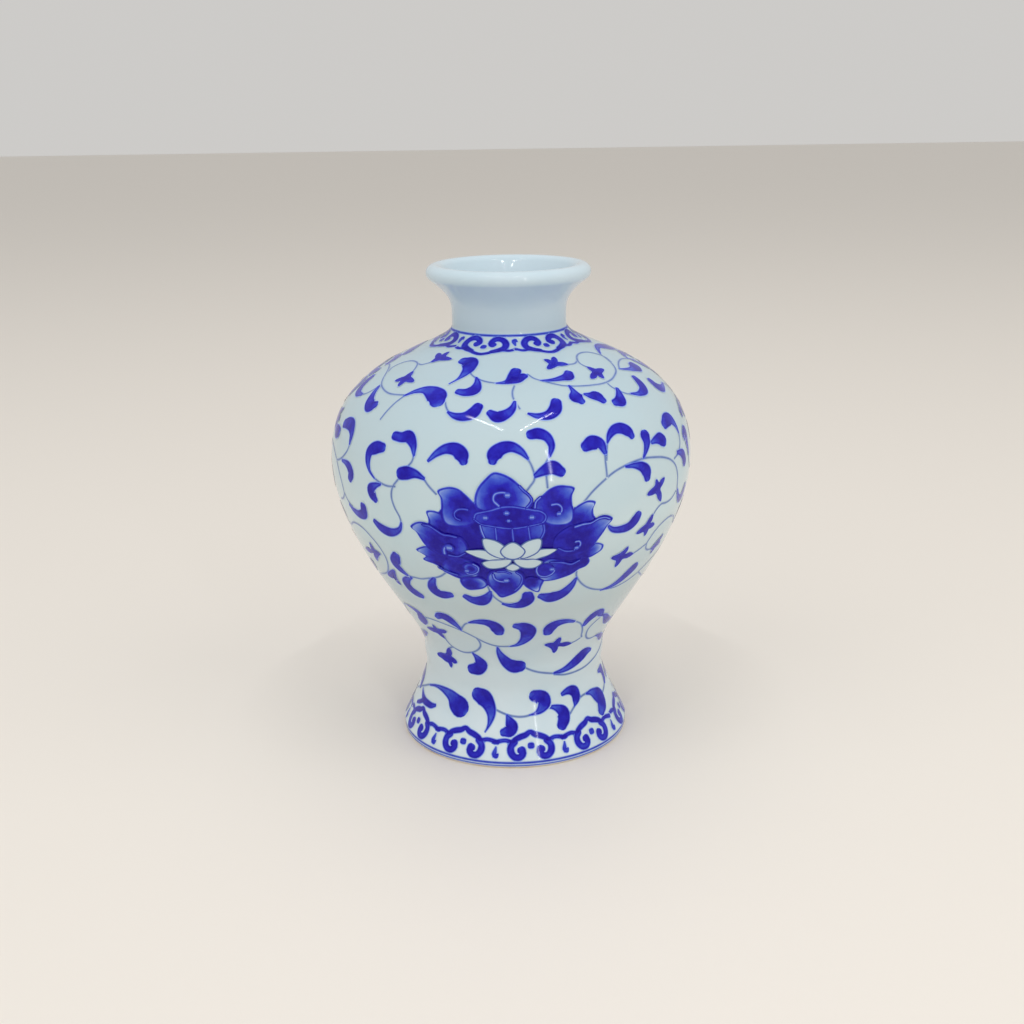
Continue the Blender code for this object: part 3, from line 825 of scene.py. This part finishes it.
bellyBuds = [
    [(48.8, 117), (51.6, 111.5), (44, 116), (48, 120.5), (52.5, 120)],
    [(-55.5, 91), (-64, 89.5), (-55.5, 95.2), (-51.3, 91.5), (-57.5, 86.3)],
    [(-51, 81.3), (-55, 80), (-47, 85.3), (-48.7, 77.3), (-50, 79)],
    [(47, 103), (48.5, 107.5), (42.2, 101.5), (47.3, 99), (51, 102.5)],
    [(38.5, 92.5), (44.5, 92), (34, 93.3), (40.3, 96.5), (37.5, 88)],
    [(59.5, 91.3), (56, 90.3), (62.5, 94.5), (63, 90.5), (58, 87.5)],
    [(96.5, 137.3), (90.5, 138.6), (101.4, 140.8), (103, 136.6), (99.4, 132.6)],
]
waistVines = [
    [(-75, 53), (-70, 55), (-66, 58), (-63, 61.5), (-60, 63.5), (-57, 63.9)],
    [(-46, 60.5), (-42, 60.8), (-37, 60.4), (-32, 59.5), (-28, 58.5), (-24, 57), (-20, 55), (-15, 52.2),
     (-10, 50.6), (-5, 50.3), (-2, 50.5)],
    [(-25.5, 58.5), (-24, 60.5), (-22, 62.5), (-20, 63.5)],
    [(30, 61.2), (33, 59.4), (35.5, 56.8), (37.5, 53.3), (38.5, 51), (39.5, 49.8)],
    [(33, 48), (36, 48.5), (38.5, 49.5)],
    [(46, 58.8), (43.5, 57), (41.5, 54.2), (42, 51), (44, 48.5), (47, 47), (51, 46.5), (55, 46.6)],
    [(-40, 50.3), (-39.5, 48.5), (-38, 46.5), (-35, 45.2), (-31, 44.4), (-27, 44.7), (-23, 45.8),
     (-20, 47.5), (-18, 50), (-18, 52.5), (-19, 54.5)],
    [(-36.5, 46), (-39, 45.3), (-41, 44.3)],
    [(6, 39), (10, 37.7), (14, 36.7), (20, 35.7), (25, 35)],
    [(25, 34.6), (32, 33.5), (42, 33.2), (50, 33.5), (58, 34.5), (66, 35.8), (74, 38), (84, 41.5),
     (91, 44)],
    [(67, 42.5), (76, 44), (85, 48.5), (95, 52), (105, 53)],
]
waistLeaves = [
    [(-78, 41.5, 1.5), (-75, 43, 2.5), (-70, 45, 2.8), (-65, 46.3, 3), (-60, 48, 2), (-57.5, 48.8, 1)],
    [(-57, 63.8, 0.8), (-53, 63.5, 2), (-49.5, 61.8, 4), (-49.5, 59, 5), (-52, 56.6, 4)],
    [(-36.5, 63.3, 2), (-34, 64.8, 3.6), (-31, 64.6, 4.6), (-28.5, 62.3, 3.6), (-26.5, 59.7, 1.8),
     (-25.7, 58.2, 0.6)],
    [(-20, 63.6, 0.8), (-16, 64.6, 2.4), (-12, 64.6, 3.6), (-8.5, 62.8, 4.6), (-7.2, 60, 4.6),
     (-7, 58.8, 3.6)],
    [(1.3, 62.9, 3.2), (4, 62.3, 5), (6.5, 60, 5.8), (6.5, 56.5, 5), (4.5, 53.3, 3.2), (1.5, 51.3, 1.6),
     (-2, 50.5, 0.6)],
    [(16.5, 57.5, 3.6), (16.8, 59.7, 4.8), (18.5, 61.8, 4.6), (21.5, 62.8, 3.4), (25, 62.7, 2.2),
     (28.5, 61.7, 1.2)],
    [(36.3, 57.8, 2.2), (37.3, 60.3, 3.6), (39.8, 62.6, 4.4), (42.5, 63.2, 3.4), (44.5, 61.6, 3),
     (46.5, 60, 1)],
    [(47, 60.3, 0.8), (50, 58.8, 2), (53, 56.5, 3), (57, 54, 3.4), (61, 53, 2.6), (64, 53, 1.4)],
    [(55, 46.6, 0.8), (59, 45.5, 1.8), (63, 44, 2.8), (67, 42.5, 2.6), (71, 42, 1)],
    [(25, 35.2, 0.8), (31, 35.5, 2), (38, 36.8, 3.4), (44, 38.5, 4.4), (48, 39.6, 4.6), (52, 39.8, 3),
     (55.5, 39.5, 1.2)],
    [(-24.2, 44.8, 0.8), (-21.8, 42.4, 3), (-20.5, 39.7, 5.2), (-22.6, 37.8, 5.2), (-26.6, 37.1, 4)],
    [(-8.8, 49.8, 0.6), (-8.3, 47, 2), (-6.5, 43.8, 3.6), (-3.5, 41, 5), (0, 39.8, 5.6), (3, 39.8, 5)],
    [(78, 59, 3.6), (83, 60.5, 4.4), (89, 60, 3.4), (94, 57, 1.6), (97, 54, 0.7)],
]
waistBuds = [
    [(23, 49), (33.5, 47.8), (16.3, 50.3), (24, 53.3), (23.5, 44.5)],
    [(-42.5, 53.5), (-40.2, 50), (-51.5, 53), (-43.5, 57), (-35.5, 55.5)],
    [(-44, 39.5), (-40.5, 44.8), (-56, 38.5), (-42.5, 35.5), (-37.3, 38.3)],
]
footVines = [
    [(-92, 15), (-80, 19), (-74, 21), (-66, 23.4), (-60, 24.5)],
    [(-11, 22), (-8, 21.2), (-5, 20.5), (-1, 19.9), (3, 19.6), (7, 19.8), (9.5, 20.2)],
    [(33.5, 18), (36, 19.3), (38, 20.3), (42, 22), (46, 22.7), (50, 22.8)],
    [(65.5, 19), (68, 19.6), (71, 20.3), (74, 21.3)],
]
footLeaves = [
    [(-66, 23.3, 0.6), (-60, 24.5, 0.9), (-54, 25, 1.6), (-48, 24.8, 2.8), (-42, 23.8, 4.6),
     (-37.5, 21.9, 7.2), (-34.5, 20.9, 7.8)],
    [(-75, 19.7, 0.6), (-71, 18, 1.8), (-67, 16.9, 2.6), (-61, 16.8, 2.5), (-57, 17, 2.2),
     (-53.5, 17.9, 1.2)],
    [(-68, 16.3, 2), (-71, 15, 1.8), (-75, 13.7, 1.2)],
    [(-23, 27, 5.5), (-20, 26.3, 6.5), (-16, 23.8, 5), (-14, 20.5, 3.4), (-14.3, 17.5, 1.8),
     (-15.5, 15, 0.7), (-16.7, 13.4, 0.3)],
    [(-4.8, 20.3, 0.6), (-3.2, 18.3, 3), (-2.1, 16.2, 4.8), (-3.2, 14.6, 4.8), (-6.3, 13.9, 3)],
    [(12.3, 27, 4.4), (15, 26.5, 5.2), (17.4, 25.4, 5.8), (17.9, 23.9, 5.2), (16.4, 22.4, 3.8),
     (14.3, 21.2, 2.4), (12, 20.5, 1.2), (9, 20.1, 0.5)],
    [(19, 22, 0.6), (22.5, 21.9, 1.5), (26, 21, 3), (28.8, 19.3, 5), (28.6, 16.8, 5), (26.6, 14.6, 4)],
    [(30.7, 25.8, 1.6), (33.5, 26.3, 2.4), (37, 26.3, 3.6), (40, 25.2, 4.4), (40.3, 23.3, 4),
     (39, 21.5, 2.6), (37.8, 20.3, 0.8)],
    [(49, 22.6, 0.6), (53, 22.3, 2.2), (57, 20.8, 5), (60.5, 18.6, 7), (60, 16, 6), (57, 13.8, 3.8)],
    [(68.8, 27.2, 1.2), (72.5, 27, 2.4), (76.5, 26.2, 4), (77, 23.5, 3.4), (74.5, 21.4, 1.6)],
    [(83, 21.5, 1), (87, 23.5, 3), (92, 24, 4.6), (97, 22, 4), (99, 19, 2.4)],
]


def paintBand(name, vines, leaves, buds):
    for side, turns in (("front", 0), ("back", 180)):
        lines, shapes = BrushWork(), BrushWork()
        for points in vines:
            lines.stroke(points, brush["vineLift"], brush["lineInk"])
        shapes.laid = lines.laid.copy()
        for i, points in enumerate(leaves):
            shapes.stroke(points, brush["leafLift"] + brush["leafStep"] * (i % 3))
        for centre, stem, *tips in buds:
            shapes.bud(centre, stem, tips, brush["budLift"])
        lines.piece(f"{name}_vines_{side}", turns, lineGlaze)
        shapes.piece(f"{name}_leaves_{side}", turns)


paintBand("shoulder", shoulderVines, shoulderLeaves, shoulderBuds)
paintBand("belly", bellyVines, bellyLeaves, bellyBuds)
paintBand("waist", waistVines, waistLeaves, waistBuds)
paintBand("foot", footVines, footLeaves, [])
print("scrolls painted")

# The right half of one cloud head, by degrees from its middle, mm up the wall and width; the left mirrors it.
# An eye, a drop and a line are by mm up the wall and width
collar = {
    "heads": 7, "first": 30.5,
    "wave": [(0, 180.6, 1.6), (10, 182.3, 1.5), (17, 183.2, 1.5), (20, 182.9, 1.4), (25.7, 183.8, 1.3)],
    "scroll": [(8, 182.2, 2), (13, 183.2, 2.4), (17.3, 184.8, 2.5), (17.8, 187, 2.5), (14.5, 188.6, 2.3),
               (10, 188.9, 2.2), (6.3, 188, 2.3), (5.6, 186.7, 2.5), (7.2, 186.1, 2.7)],
    "eye": (184.8, 2.2), "drop": (188, 2), "dropTail": 185.5, "lines": [(190.3, 0.7)],
}
footBand = {
    "heads": 10, "first": 8,
    "wave": [(0, 13.9, 1.8), (2.5, 12.9, 2.1), (5.5, 12.2, 2.2), (8.3, 11.2, 2), (9.6, 10.5, 1.8),
             (13, 11, 1.5), (18.7, 10.2, 1.7)],
    "scroll": [(8.3, 10.3, 2.2), (10.2, 8.9, 2.5), (10.2, 6.5, 2.7), (8.3, 4.9, 2.5), (5.8, 4.9, 2.5),
               (4.5, 6.2, 2.8), (5, 7.3, 3.2)],
    # the second, thinner line low on the foot is painted shade: a dark ring along the foot's bottom edge, drawn
    # in cobalt
    "eye": (8.9, 2.3), "drop": (5.4, 2.3), "dropTail": 8.6, "lines": [(2.7, 0.65), (1.6, 0.25)],
}
bandLook = {
    "lineLift": 0.04, "lineInk": 0.85, "lineStep": 6, "waveLift": 0.07, "waveStep": 0.02, "waveInk": 0.95,
    "scrollLift": 0.11, "eyeLift": 0.13, "eyeInk": 0.85, "eyeHalf": 0.4, "dropInk": 0.8, "dropPoint": 0.5,
    "dropLean": 0.2,
}


def cloudBand(name, band):
    look, spacing = bandLook, 360 / band["heads"]
    work = BrushWork()
    # ring lines round the band; the thinner one on the foot is painted shade along its bottom edge
    for height, width in band["lines"]:
        ring = [(at, height, width) for at in range(-180, 181, look["lineStep"])]
        work.stroke(ring, look["lineLift"], look["lineInk"])
    wave = [(-x, y, w) for x, y, w in band["wave"][:0:-1]] + band["wave"]
    for head in range(band["heads"]):
        middle = band["first"] + head * spacing
        lift = look["waveLift"] + look["waveStep"] * (head % 2)
        work.stroke([(middle + x, y, w) for x, y, w in wave], lift, look["waveInk"])
        for way in (-1, 1):
            scroll = [(middle + way * x, y, w) for x, y, w in band["scroll"]]
            work.stroke(scroll, look["scrollLift"], look["waveInk"])
        eyeAt, eyeWidth = band["eye"]
        eye = [(middle + x, eyeAt, eyeWidth) for x in (-look["eyeHalf"], look["eyeHalf"])]
        work.stroke(eye, look["eyeLift"], look["eyeInk"])
        dropAt, dropWidth = band["drop"]
        between = middle + spacing / 2
        drop = [(between, band["dropTail"], look["dropPoint"]), (between, dropAt, dropWidth),
                (between + look["dropLean"], dropAt, dropWidth)]
        work.stroke(drop, look["eyeLift"], look["dropInk"])
    work.piece(name)


cloudBand("cloud_collar_shoulder", collar)
cloudBand("cloud_band_foot", footBand)
print("borders painted")

# The lotus, back to front: each petal's outline, its darkest point, and the ink left at its tips
lotusPetals = [
    ([(-24, 109), (-20, 117), (-10, 119), (0, 120), (9, 119), (17, 117), (23, 111), (25, 103), (24, 96),
      (14, 88.5), (2, 86), (-10, 85.5), (-20, 90), (-26, 98)], (0, 104), 0.95),
    ([(-25.4, 114.9), (-23.5, 115.4), (-21, 114.8), (-18.5, 113), (-18.5, 109), (-22, 107.5),
      (-25.3, 108.5), (-25, 112)], (-20.5, 109.5), 0.17),
    ([(17.6, 115.6), (20, 117.5), (22.5, 118.3), (24.7, 117.4), (24, 115.3), (24.2, 113), (25.3, 111),
      (21, 108.5), (17.5, 110)], (19.5, 110.5), 0.15),
    ([(-31.6, 98.6), (-29.5, 100.3), (-26.5, 101.3), (-22, 100), (-20, 95), (-22, 92), (-26.3, 93.6),
      (-29.9, 95.1), (-28.5, 96.6), (-29.8, 97.5)], (-23, 96.5), 0.24),
    ([(24, 101.5), (27.5, 101.3), (29.3, 100), (29.1, 98.3), (27.5, 96.9), (25, 95.6), (21, 95.5),
      (20, 99)], (22, 98.5), 0.17),
    ([(-23.5, 91), (-21, 89.3), (-18.5, 88.1), (-14, 88), (-11.3, 90), (-11, 94), (-14, 97),
      (-20, 97)], (-18, 93.5), 0.3),
    ([(9.5, 87.4), (13, 87), (16, 87.6), (20, 89.2), (22.2, 91), (24.6, 92), (25.4, 93.6), (24.5, 95.7),
      (22, 96), (19, 94.9), (16, 96), (11, 97), (8, 94)], (20, 93), 0.26),
    ([(-21.6, 122.4), (-19.5, 123.8), (-17.3, 124.2), (-15.2, 123.7), (-13.2, 122), (-11.4, 120),
      (-9.7, 117.8), (-9.7, 113), (-14, 110.5), (-20, 111.5), (-20.7, 115), (-20.5, 117.8),
      (-20.7, 120.5)], (-13.8, 117.5), 0.26),
    ([(6.4, 117.5), (7, 120), (8.6, 121.6), (10.5, 123.4), (13, 124.5), (15.5, 124.3), (18.1, 123.1),
      (17.3, 121), (17.3, 118), (17.9, 115), (17.6, 111.5), (12, 110.5), (8, 113)], (12.3, 118.6), 0.26),
    ([(-31.6, 108.2), (-30, 109.9), (-27.5, 110.8), (-25, 110.4), (-22.8, 109), (-20.8, 107.4),
      (-18.3, 106.8), (-15.7, 106.4), (-13.9, 104), (-13.5, 101.3), (-16, 98.6), (-21, 97.8),
      (-25.5, 99.6), (-27.6, 101.6), (-28.9, 104.3), (-29.8, 106.4)], (-21.5, 103.5), 0.24),
    ([(15.5, 108.6), (19, 110), (22.5, 110.1), (24.5, 111.2), (26.5, 112.2), (28.7, 112), (30.9, 110.3),
      (29.4, 108), (28.2, 105.6), (27, 103.5), (25.3, 100.6), (21.5, 98.3), (16, 97.9), (12.8, 101),
      (13, 106)], (19.5, 104.5), 0.24),
    ([(-18, 87.5), (-17.6, 84.6), (-16, 82.9), (-13, 83.1), (-10, 84.2), (-8.6, 86), (-10, 88.6),
      (-14, 89.3)], (-14.5, 85.6), 0.3),
    ([(3.6, 86.3), (5.5, 83.7), (9, 81.9), (9.6, 84.5), (10.1, 87.6), (8, 88.6), (5, 89.2)], (6, 87), 0.1),
    ([(-10.3, 118), (-10.5, 121), (-9.7, 124), (-7.6, 127.2), (-4.9, 129.6), (-2.5, 129.1), (0, 127.6),
      (2, 125.6), (3.5, 123.4), (5, 121.8), (5.8, 120), (5.3, 118), (2, 116.4), (-6, 116)], (-3.2, 121),
      0.26),
    ([(-8.2, 86), (-6.3, 82.3), (-4.3, 79.6), (-1.5, 80.6), (1, 82.3), (2.9, 85), (3.8, 88), (3.4, 90.8),
      (1.2, 92.8), (-4, 93.4), (-7.8, 91.3)], (-2.5, 85.5), 0.3),
    ([(-9.4, 111.6), (-8.9, 109), (-8.2, 106.3), (-4, 104.2), (0, 103.6), (4, 104.2), (7.8, 105.2),
      (8.8, 106.8), (9.4, 109), (9.2, 111.8), (0, 113)], (0, 105.5), 0.5),
    ([(-10.9, 113.5), (-10.4, 115.3), (-8.5, 116), (-6, 116.8), (-3, 117.9), (0, 118), (3, 117.4),
      (6, 116.6), (8, 116.1), (9.6, 114.4), (9.3, 112.8), (8.2, 111.8), (6, 111.3), (3, 110.7), (0, 110.3),
      (-3, 110.6), (-6, 111.2), (-9, 111.9)], (-0.5, 113.8), 0.72),
    ([(-15.2, 91.8), (-14.5, 90.9), (-12.8, 90.7), (-11, 92), (-10.9, 94.3), (-12.5, 95.7), (-15, 95.5),
      (-16.2, 93.7)], (-13.3, 93.3), 0.5),
    ([(7.6, 92.6), (8.6, 90.4), (10.5, 89.6), (12.6, 90.7), (13.2, 92.8), (12, 94.8),
      (9.5, 95.2)], (10.3, 92.5), 0.85),
]
# Pale lines scraped or left between the washes, and their widths
lotusLines = [
    ([(-3.7, 118.5), (-5.2, 120.5), (-4.9, 122.2), (-3, 123), (-1.3, 122.6), (-0.7, 121.7)], 0.75),
    ([(2.2, 125), (3.4, 123.4), (4.8, 121.9), (5.6, 120.3), (5, 118.8), (4.2, 117.8)], 0.55),
    ([(-12.6, 116.8), (-13.9, 117), (-15.6, 116.6), (-16.6, 115.2), (-16.3, 113.7), (-15, 113)], 0.5),
    ([(11.3, 118.2), (13, 118.3), (14.2, 117), (14.1, 115.4), (13, 114.5)], 0.65),
    ([(6.5, 117.6), (6.8, 119.6), (8, 121)], 0.6),
    ([(-10.9, 113.5), (-10.4, 115.3), (-8.5, 116.1), (-6, 116.8), (-3, 117.9), (0, 118.1), (3, 117.5),
      (6, 116.7), (8, 116.2), (9.6, 114.5), (9.4, 112.9), (8.3, 111.8)], 0.55),
    ([(-10.9, 113.5), (-9, 111.9), (-6, 111.2), (-3, 110.6), (0, 110.3), (3, 110.7), (6, 111.3),
      (8.2, 111.8)], 0.4),
    ([(-9.2, 111.3), (-8.8, 109), (-8.1, 106.6)], 0.6),
    ([(9.1, 111.2), (9.3, 109), (8.6, 106.6), (7.8, 105.3)], 0.55),
    ([(-4.8, 110.4), (-4.6, 106.2)], 0.5),
    ([(0, 110.1), (0.3, 105.6)], 0.5),
    ([(4.6, 110.8), (5.2, 105.8)], 0.5),
    ([(-27, 109.8), (-25, 109.6), (-22.8, 108.2), (-20.8, 106.9), (-18.5, 106.7), (-16.7, 106.3)], 0.5),
    ([(-21.3, 99.4), (-21.2, 101), (-20.3, 102.1), (-19, 102.3), (-18.4, 101.6), (-18.9, 100.9)], 1.1),
    ([(-20, 98.6), (-17, 98.4), (-14.6, 100)], 0.4),
    ([(18.5, 109.4), (21, 110), (23.5, 110.1), (26, 111.3), (28.3, 111.3), (29.8, 110.5)], 0.6),
    ([(19.2, 103.5), (20.3, 103.6), (20.9, 102.5), (20.4, 101), (19.2, 100.3)], 0.65),
    ([(14, 101.5), (16.5, 100), (19.2, 99.9)], 0.4),
    ([(-6.4, 91), (-6, 89), (-4.3, 87.8), (-2.3, 87.9), (-1.6, 88.7)], 0.7),
    ([(-5, 92.3), (-2.8, 92.5), (-0.9, 91.7)], 0.5),
    ([(1.2, 92), (2.8, 90.3), (3, 88), (2.2, 85.4), (0.6, 83.2)], 0.5),
    ([(8, 95.3), (7.6, 92.5), (8.5, 90.2), (10.5, 89.4), (12.8, 90.5), (13.5, 92), (12.9, 92.8)], 0.6),
    ([(12, 95.7), (16, 95.1), (19, 94), (21.5, 95.2)], 0.5),
    ([(-15.5, 91.8), (-14.8, 90.9), (-12.8, 90.9), (-11.2, 92.3), (-11.1, 94.3), (-12.5, 95.4)], 0.6),
    ([(-24.5, 92.4), (-22, 91), (-18.5, 89.8)], 0.5),
]
# Seeds in the pod, and the round ends of the curls: degrees, mm and width
seedDots = [(-7.6, 114.2, 1.1), (-1.5, 115.9, 1), (-1, 113.2, 0.9), (5.6, 114.2, 1.2)]
curlEnds = [(-1.2, 122.1, 1.3), (13.4, 114.9, 1.1), (-19.4, 101.7, 1.9), (-2.2, 88.2, 1.3),
            (12.7, 92.6, 1.1), (-14.9, 92.2, 1.1), (19.8, 101, 1)]
# The white flower at its heart: outline and centre of each petal, in the order they lie
heartPetals = [
    ([(-14.5, 101), (-12, 101.6), (-8.5, 101.8), (-5, 100), (-1.5, 98), (-4, 97.2), (-9, 97.8),
      (-12.2, 99.3)], (-8.5, 99.6)),
    ([(13.5, 101.2), (11, 101.8), (8, 101.8), (5, 100.2), (1.5, 98), (4, 97.4), (9, 98.2),
      (12, 99.8)], (8.3, 99.9)),
    ([(-9.6, 96.2), (-8.4, 94.3), (-4.5, 93.9), (-1.2, 95.6), (-0.2, 97.6), (-3.5, 97.9),
      (-7.5, 97.4)], (-5, 96)),
    ([(9.2, 96.4), (7.4, 94.2), (4, 93.9), (1.2, 95.6), (0.2, 97.6), (3.8, 97.9), (7.5, 97.6)], (4.8, 96)),
    ([(-2.3, 94.2), (0, 96.2), (2.3, 94.2), (0, 92.7)], (0, 94.3)),
    ([(-8.7, 106.3), (-6, 106.2), (-3.2, 104.6), (-1, 100), (-2.5, 98.4), (-5.5, 99.2), (-7.8, 101.2),
      (-8.7, 103.6)], (-5.2, 102.4)),
    ([(8.4, 106), (5.7, 106), (3, 104.4), (1, 100), (2.5, 98.4), (5.6, 99.2), (7.8, 101),
      (8.6, 103.3)], (5.1, 102.4)),
    ([(0.2, 105.2), (2.5, 103.5), (3.8, 101.3), (2.6, 99), (0.1, 98), (-2.5, 99), (-3.7, 101.3),
      (-2.4, 103.6)], (0, 101.6)),
]
petalLook = {
    "firstLift": 0.06, "liftStep": 0.02,
    # a petal from its bleed to its contour, then its dark wash, at shares of the way in to its centre
    "contour": [(-0.3, 0, 0), (0, 0, 0.5),
                (0.3, 0, 0.9)], "washFrom": 0.9, "washAt": (0, 0.2, 0.5, 0.75, 0.93),
    "pale": 0.22, "faint": 0.42, "faintUnder": 0.58, "curlWidth": 1.15, "lineTone": 0.92,
    "dotTone": 0.7, "dotHalf": 0.15, "dotLift": 0.01,
    "heart": [(-0.15, 0, 1), (0.1, 0, 0.75), (0.25, 0, 0.75), (0.45, 0, 0.08), (0.45, 0.5, 0.04),
              (0.45, 0.8, 0.04)],
    "heartSpacing": 0.5,
}


def paintLotus(side, turns):
    look = petalLook
    petals, lines, heart = BrushWork(), BrushWork(), BrushWork()
    inks = look["contour"] + [(look["washFrom"], share, 1) for share in look["washAt"]]
    lift = look["firstLift"]
    for outline, centre, wash in lotusPetals:
        petals.petal(outline, centre, lift, inks, tipWash=wash)
        lift += look["liftStep"]
    for points, width in lotusLines:
        pale = look["faint"] if width < look["faintUnder"] else look["pale"]
        path = [(x, y, width * look["curlWidth"]) for x, y in points]
        lines.stroke(path, lift, look["lineTone"], merge=False, light=pale)
    for x, y, width in seedDots + curlEnds:
        dot = [(x - look["dotHalf"], y, width), (x + look["dotHalf"], y, width)]
        lines.stroke(dot, lift + look["dotLift"], look["dotTone"], merge=False, light=look["pale"])
    for outline, centre in heartPetals:
        lift += look["liftStep"]
        heart.petal(outline, centre, lift, look["heart"], look["heartSpacing"])
    petals.piece(f"lotus_petals_{side}", turns)
    lines.piece(f"lotus_pale_lines_{side}", turns)
    heart.piece(f"lotus_heart_{side}", turns, lineGlaze)


paintLotus("front", 0)
paintLotus("back", 180)
print("lotus painted")

stageLook = {
    "floor": "ebe6df", "floorSize": 12, "toothSize": 0.6, "toothDepth": 0.02, "roughness": 0.55,
    "surround": "f3f1ee", "surroundLight": 0.68, "tubeUnder": 0.1,
}


def paleFloor():
    # A matt painted board, with a fine tooth that only just breaks up its sheen
    material, tree, shader = newMaterial("mattPaintedBoard")
    place = addNode(tree, "ShaderNodeTexCoord").outputs["Object"]
    tooth = addNode(tree, "ShaderNodeTexNoise",
                    {"Vector": place, "Scale": 1 / (stageLook["toothSize"] * mm), "Detail": 2}).outputs[0]
    bump = addNode(tree, "ShaderNodeBump", {"Height": tooth, "Distance": stageLook["toothDepth"] * mm})
    tree.links.new(bump.outputs[0], shader.inputs["Normal"])
    shader.inputs["Base Color"].default_value = linear(stageLook["floor"])
    shader.inputs["Roughness"].default_value = stageLook["roughness"]
    half = stageLook["floorSize"] / 2
    mesh = bpy.data.meshes.new("floor")
    corners = [(-half, -half, 0), (half, -half, 0), (half, half, 0), (-half, half, 0)]
    mesh.from_pydata(corners, [], [(0, 1, 2, 3)])
    mesh.materials.append(material)
    floor = bpy.data.objects.new("floor", mesh)
    scene.collection.objects.link(floor)


paleFloor()
world = bpy.data.worlds.new("surround")
scene.world = world
world.use_nodes = True
background = world.node_tree.nodes["Background"]
background.inputs["Color"].default_value = linear(stageLook["surround"])
background.inputs["Strength"].default_value = stageLook["surroundLight"]
scene.view_settings.view_transform = "Standard"

# Softboxes and tubes: place and size in metres, power in watts, colour, and twist about the way they face
lamps = {
    "keyLeft": ((-1.4, -1.1, 1.3), (1.8, 1.8), 8.6, "fffaf4", 0),
    "keyRight": ((1.5, -0.8, 1.2), (1.6, 1.6), 7.9, "fff8ee", 0),
    "top": ((0, 0.3, 1.6), (1.2, 1.2), 3.2, "ffffff", 0),
    "edgeTube": ((0.32, -0.75, 0.35), (0.016, 0.5), 0.6, "ffffff", 0),
    "shoulderTubeLeft": ((-0.22, -0.4, 1.1), (0.48, 0.01), 1, "ffffff", -24),
    "shoulderTubeRight": ((0.22, -0.38, 1.1), (0.5, 0.01), 1, "ffffff", 30),
}
for name, (place, size, power, colour, twist) in lamps.items():
    light = bpy.data.lights.new(name, "AREA")
    light.shape, light.size, light.size_y = "RECTANGLE", *size
    light.energy, light.color = power, linear(colour)[:3]
    lamp = bpy.data.objects.new(name, light)
    towards = Vector((0, 0, topHeight * mm / 2)) - Vector(place)
    facing = towards.to_track_quat("-Z", "Y").to_matrix().to_4x4()
    lamp.matrix_world = Matrix.Translation(place) @ facing @ Matrix.Rotation(math.radians(twist), 4, "Z")
    lamp.visible_glossy = min(size) < stageLook["tubeUnder"]  # only the tubes show as streaks in the glaze
    scene.collection.objects.link(lamp)

view = {
    "place": (0, -0.5, 0.238),
    "pitchDown": 16.93, "roll": -0.86, "lens": 48.19, "sensor": 36, "nearest": 0.01}
camera = bpy.data.objects.new("camera", bpy.data.cameras.new("camera"))
camera.data.lens, camera.data.sensor_width = view["lens"], view["sensor"]
camera.data.clip_start = view["nearest"]
pitch = Matrix.Rotation(math.radians(90 - view["pitchDown"]), 4, "X")
roll = Matrix.Rotation(math.radians(view["roll"]), 4, "Z")
camera.matrix_world = Matrix.Translation(view["place"]) @ pitch @ roll
scene.collection.objects.link(camera)
scene.camera = camera
print("stage, lights and camera set")
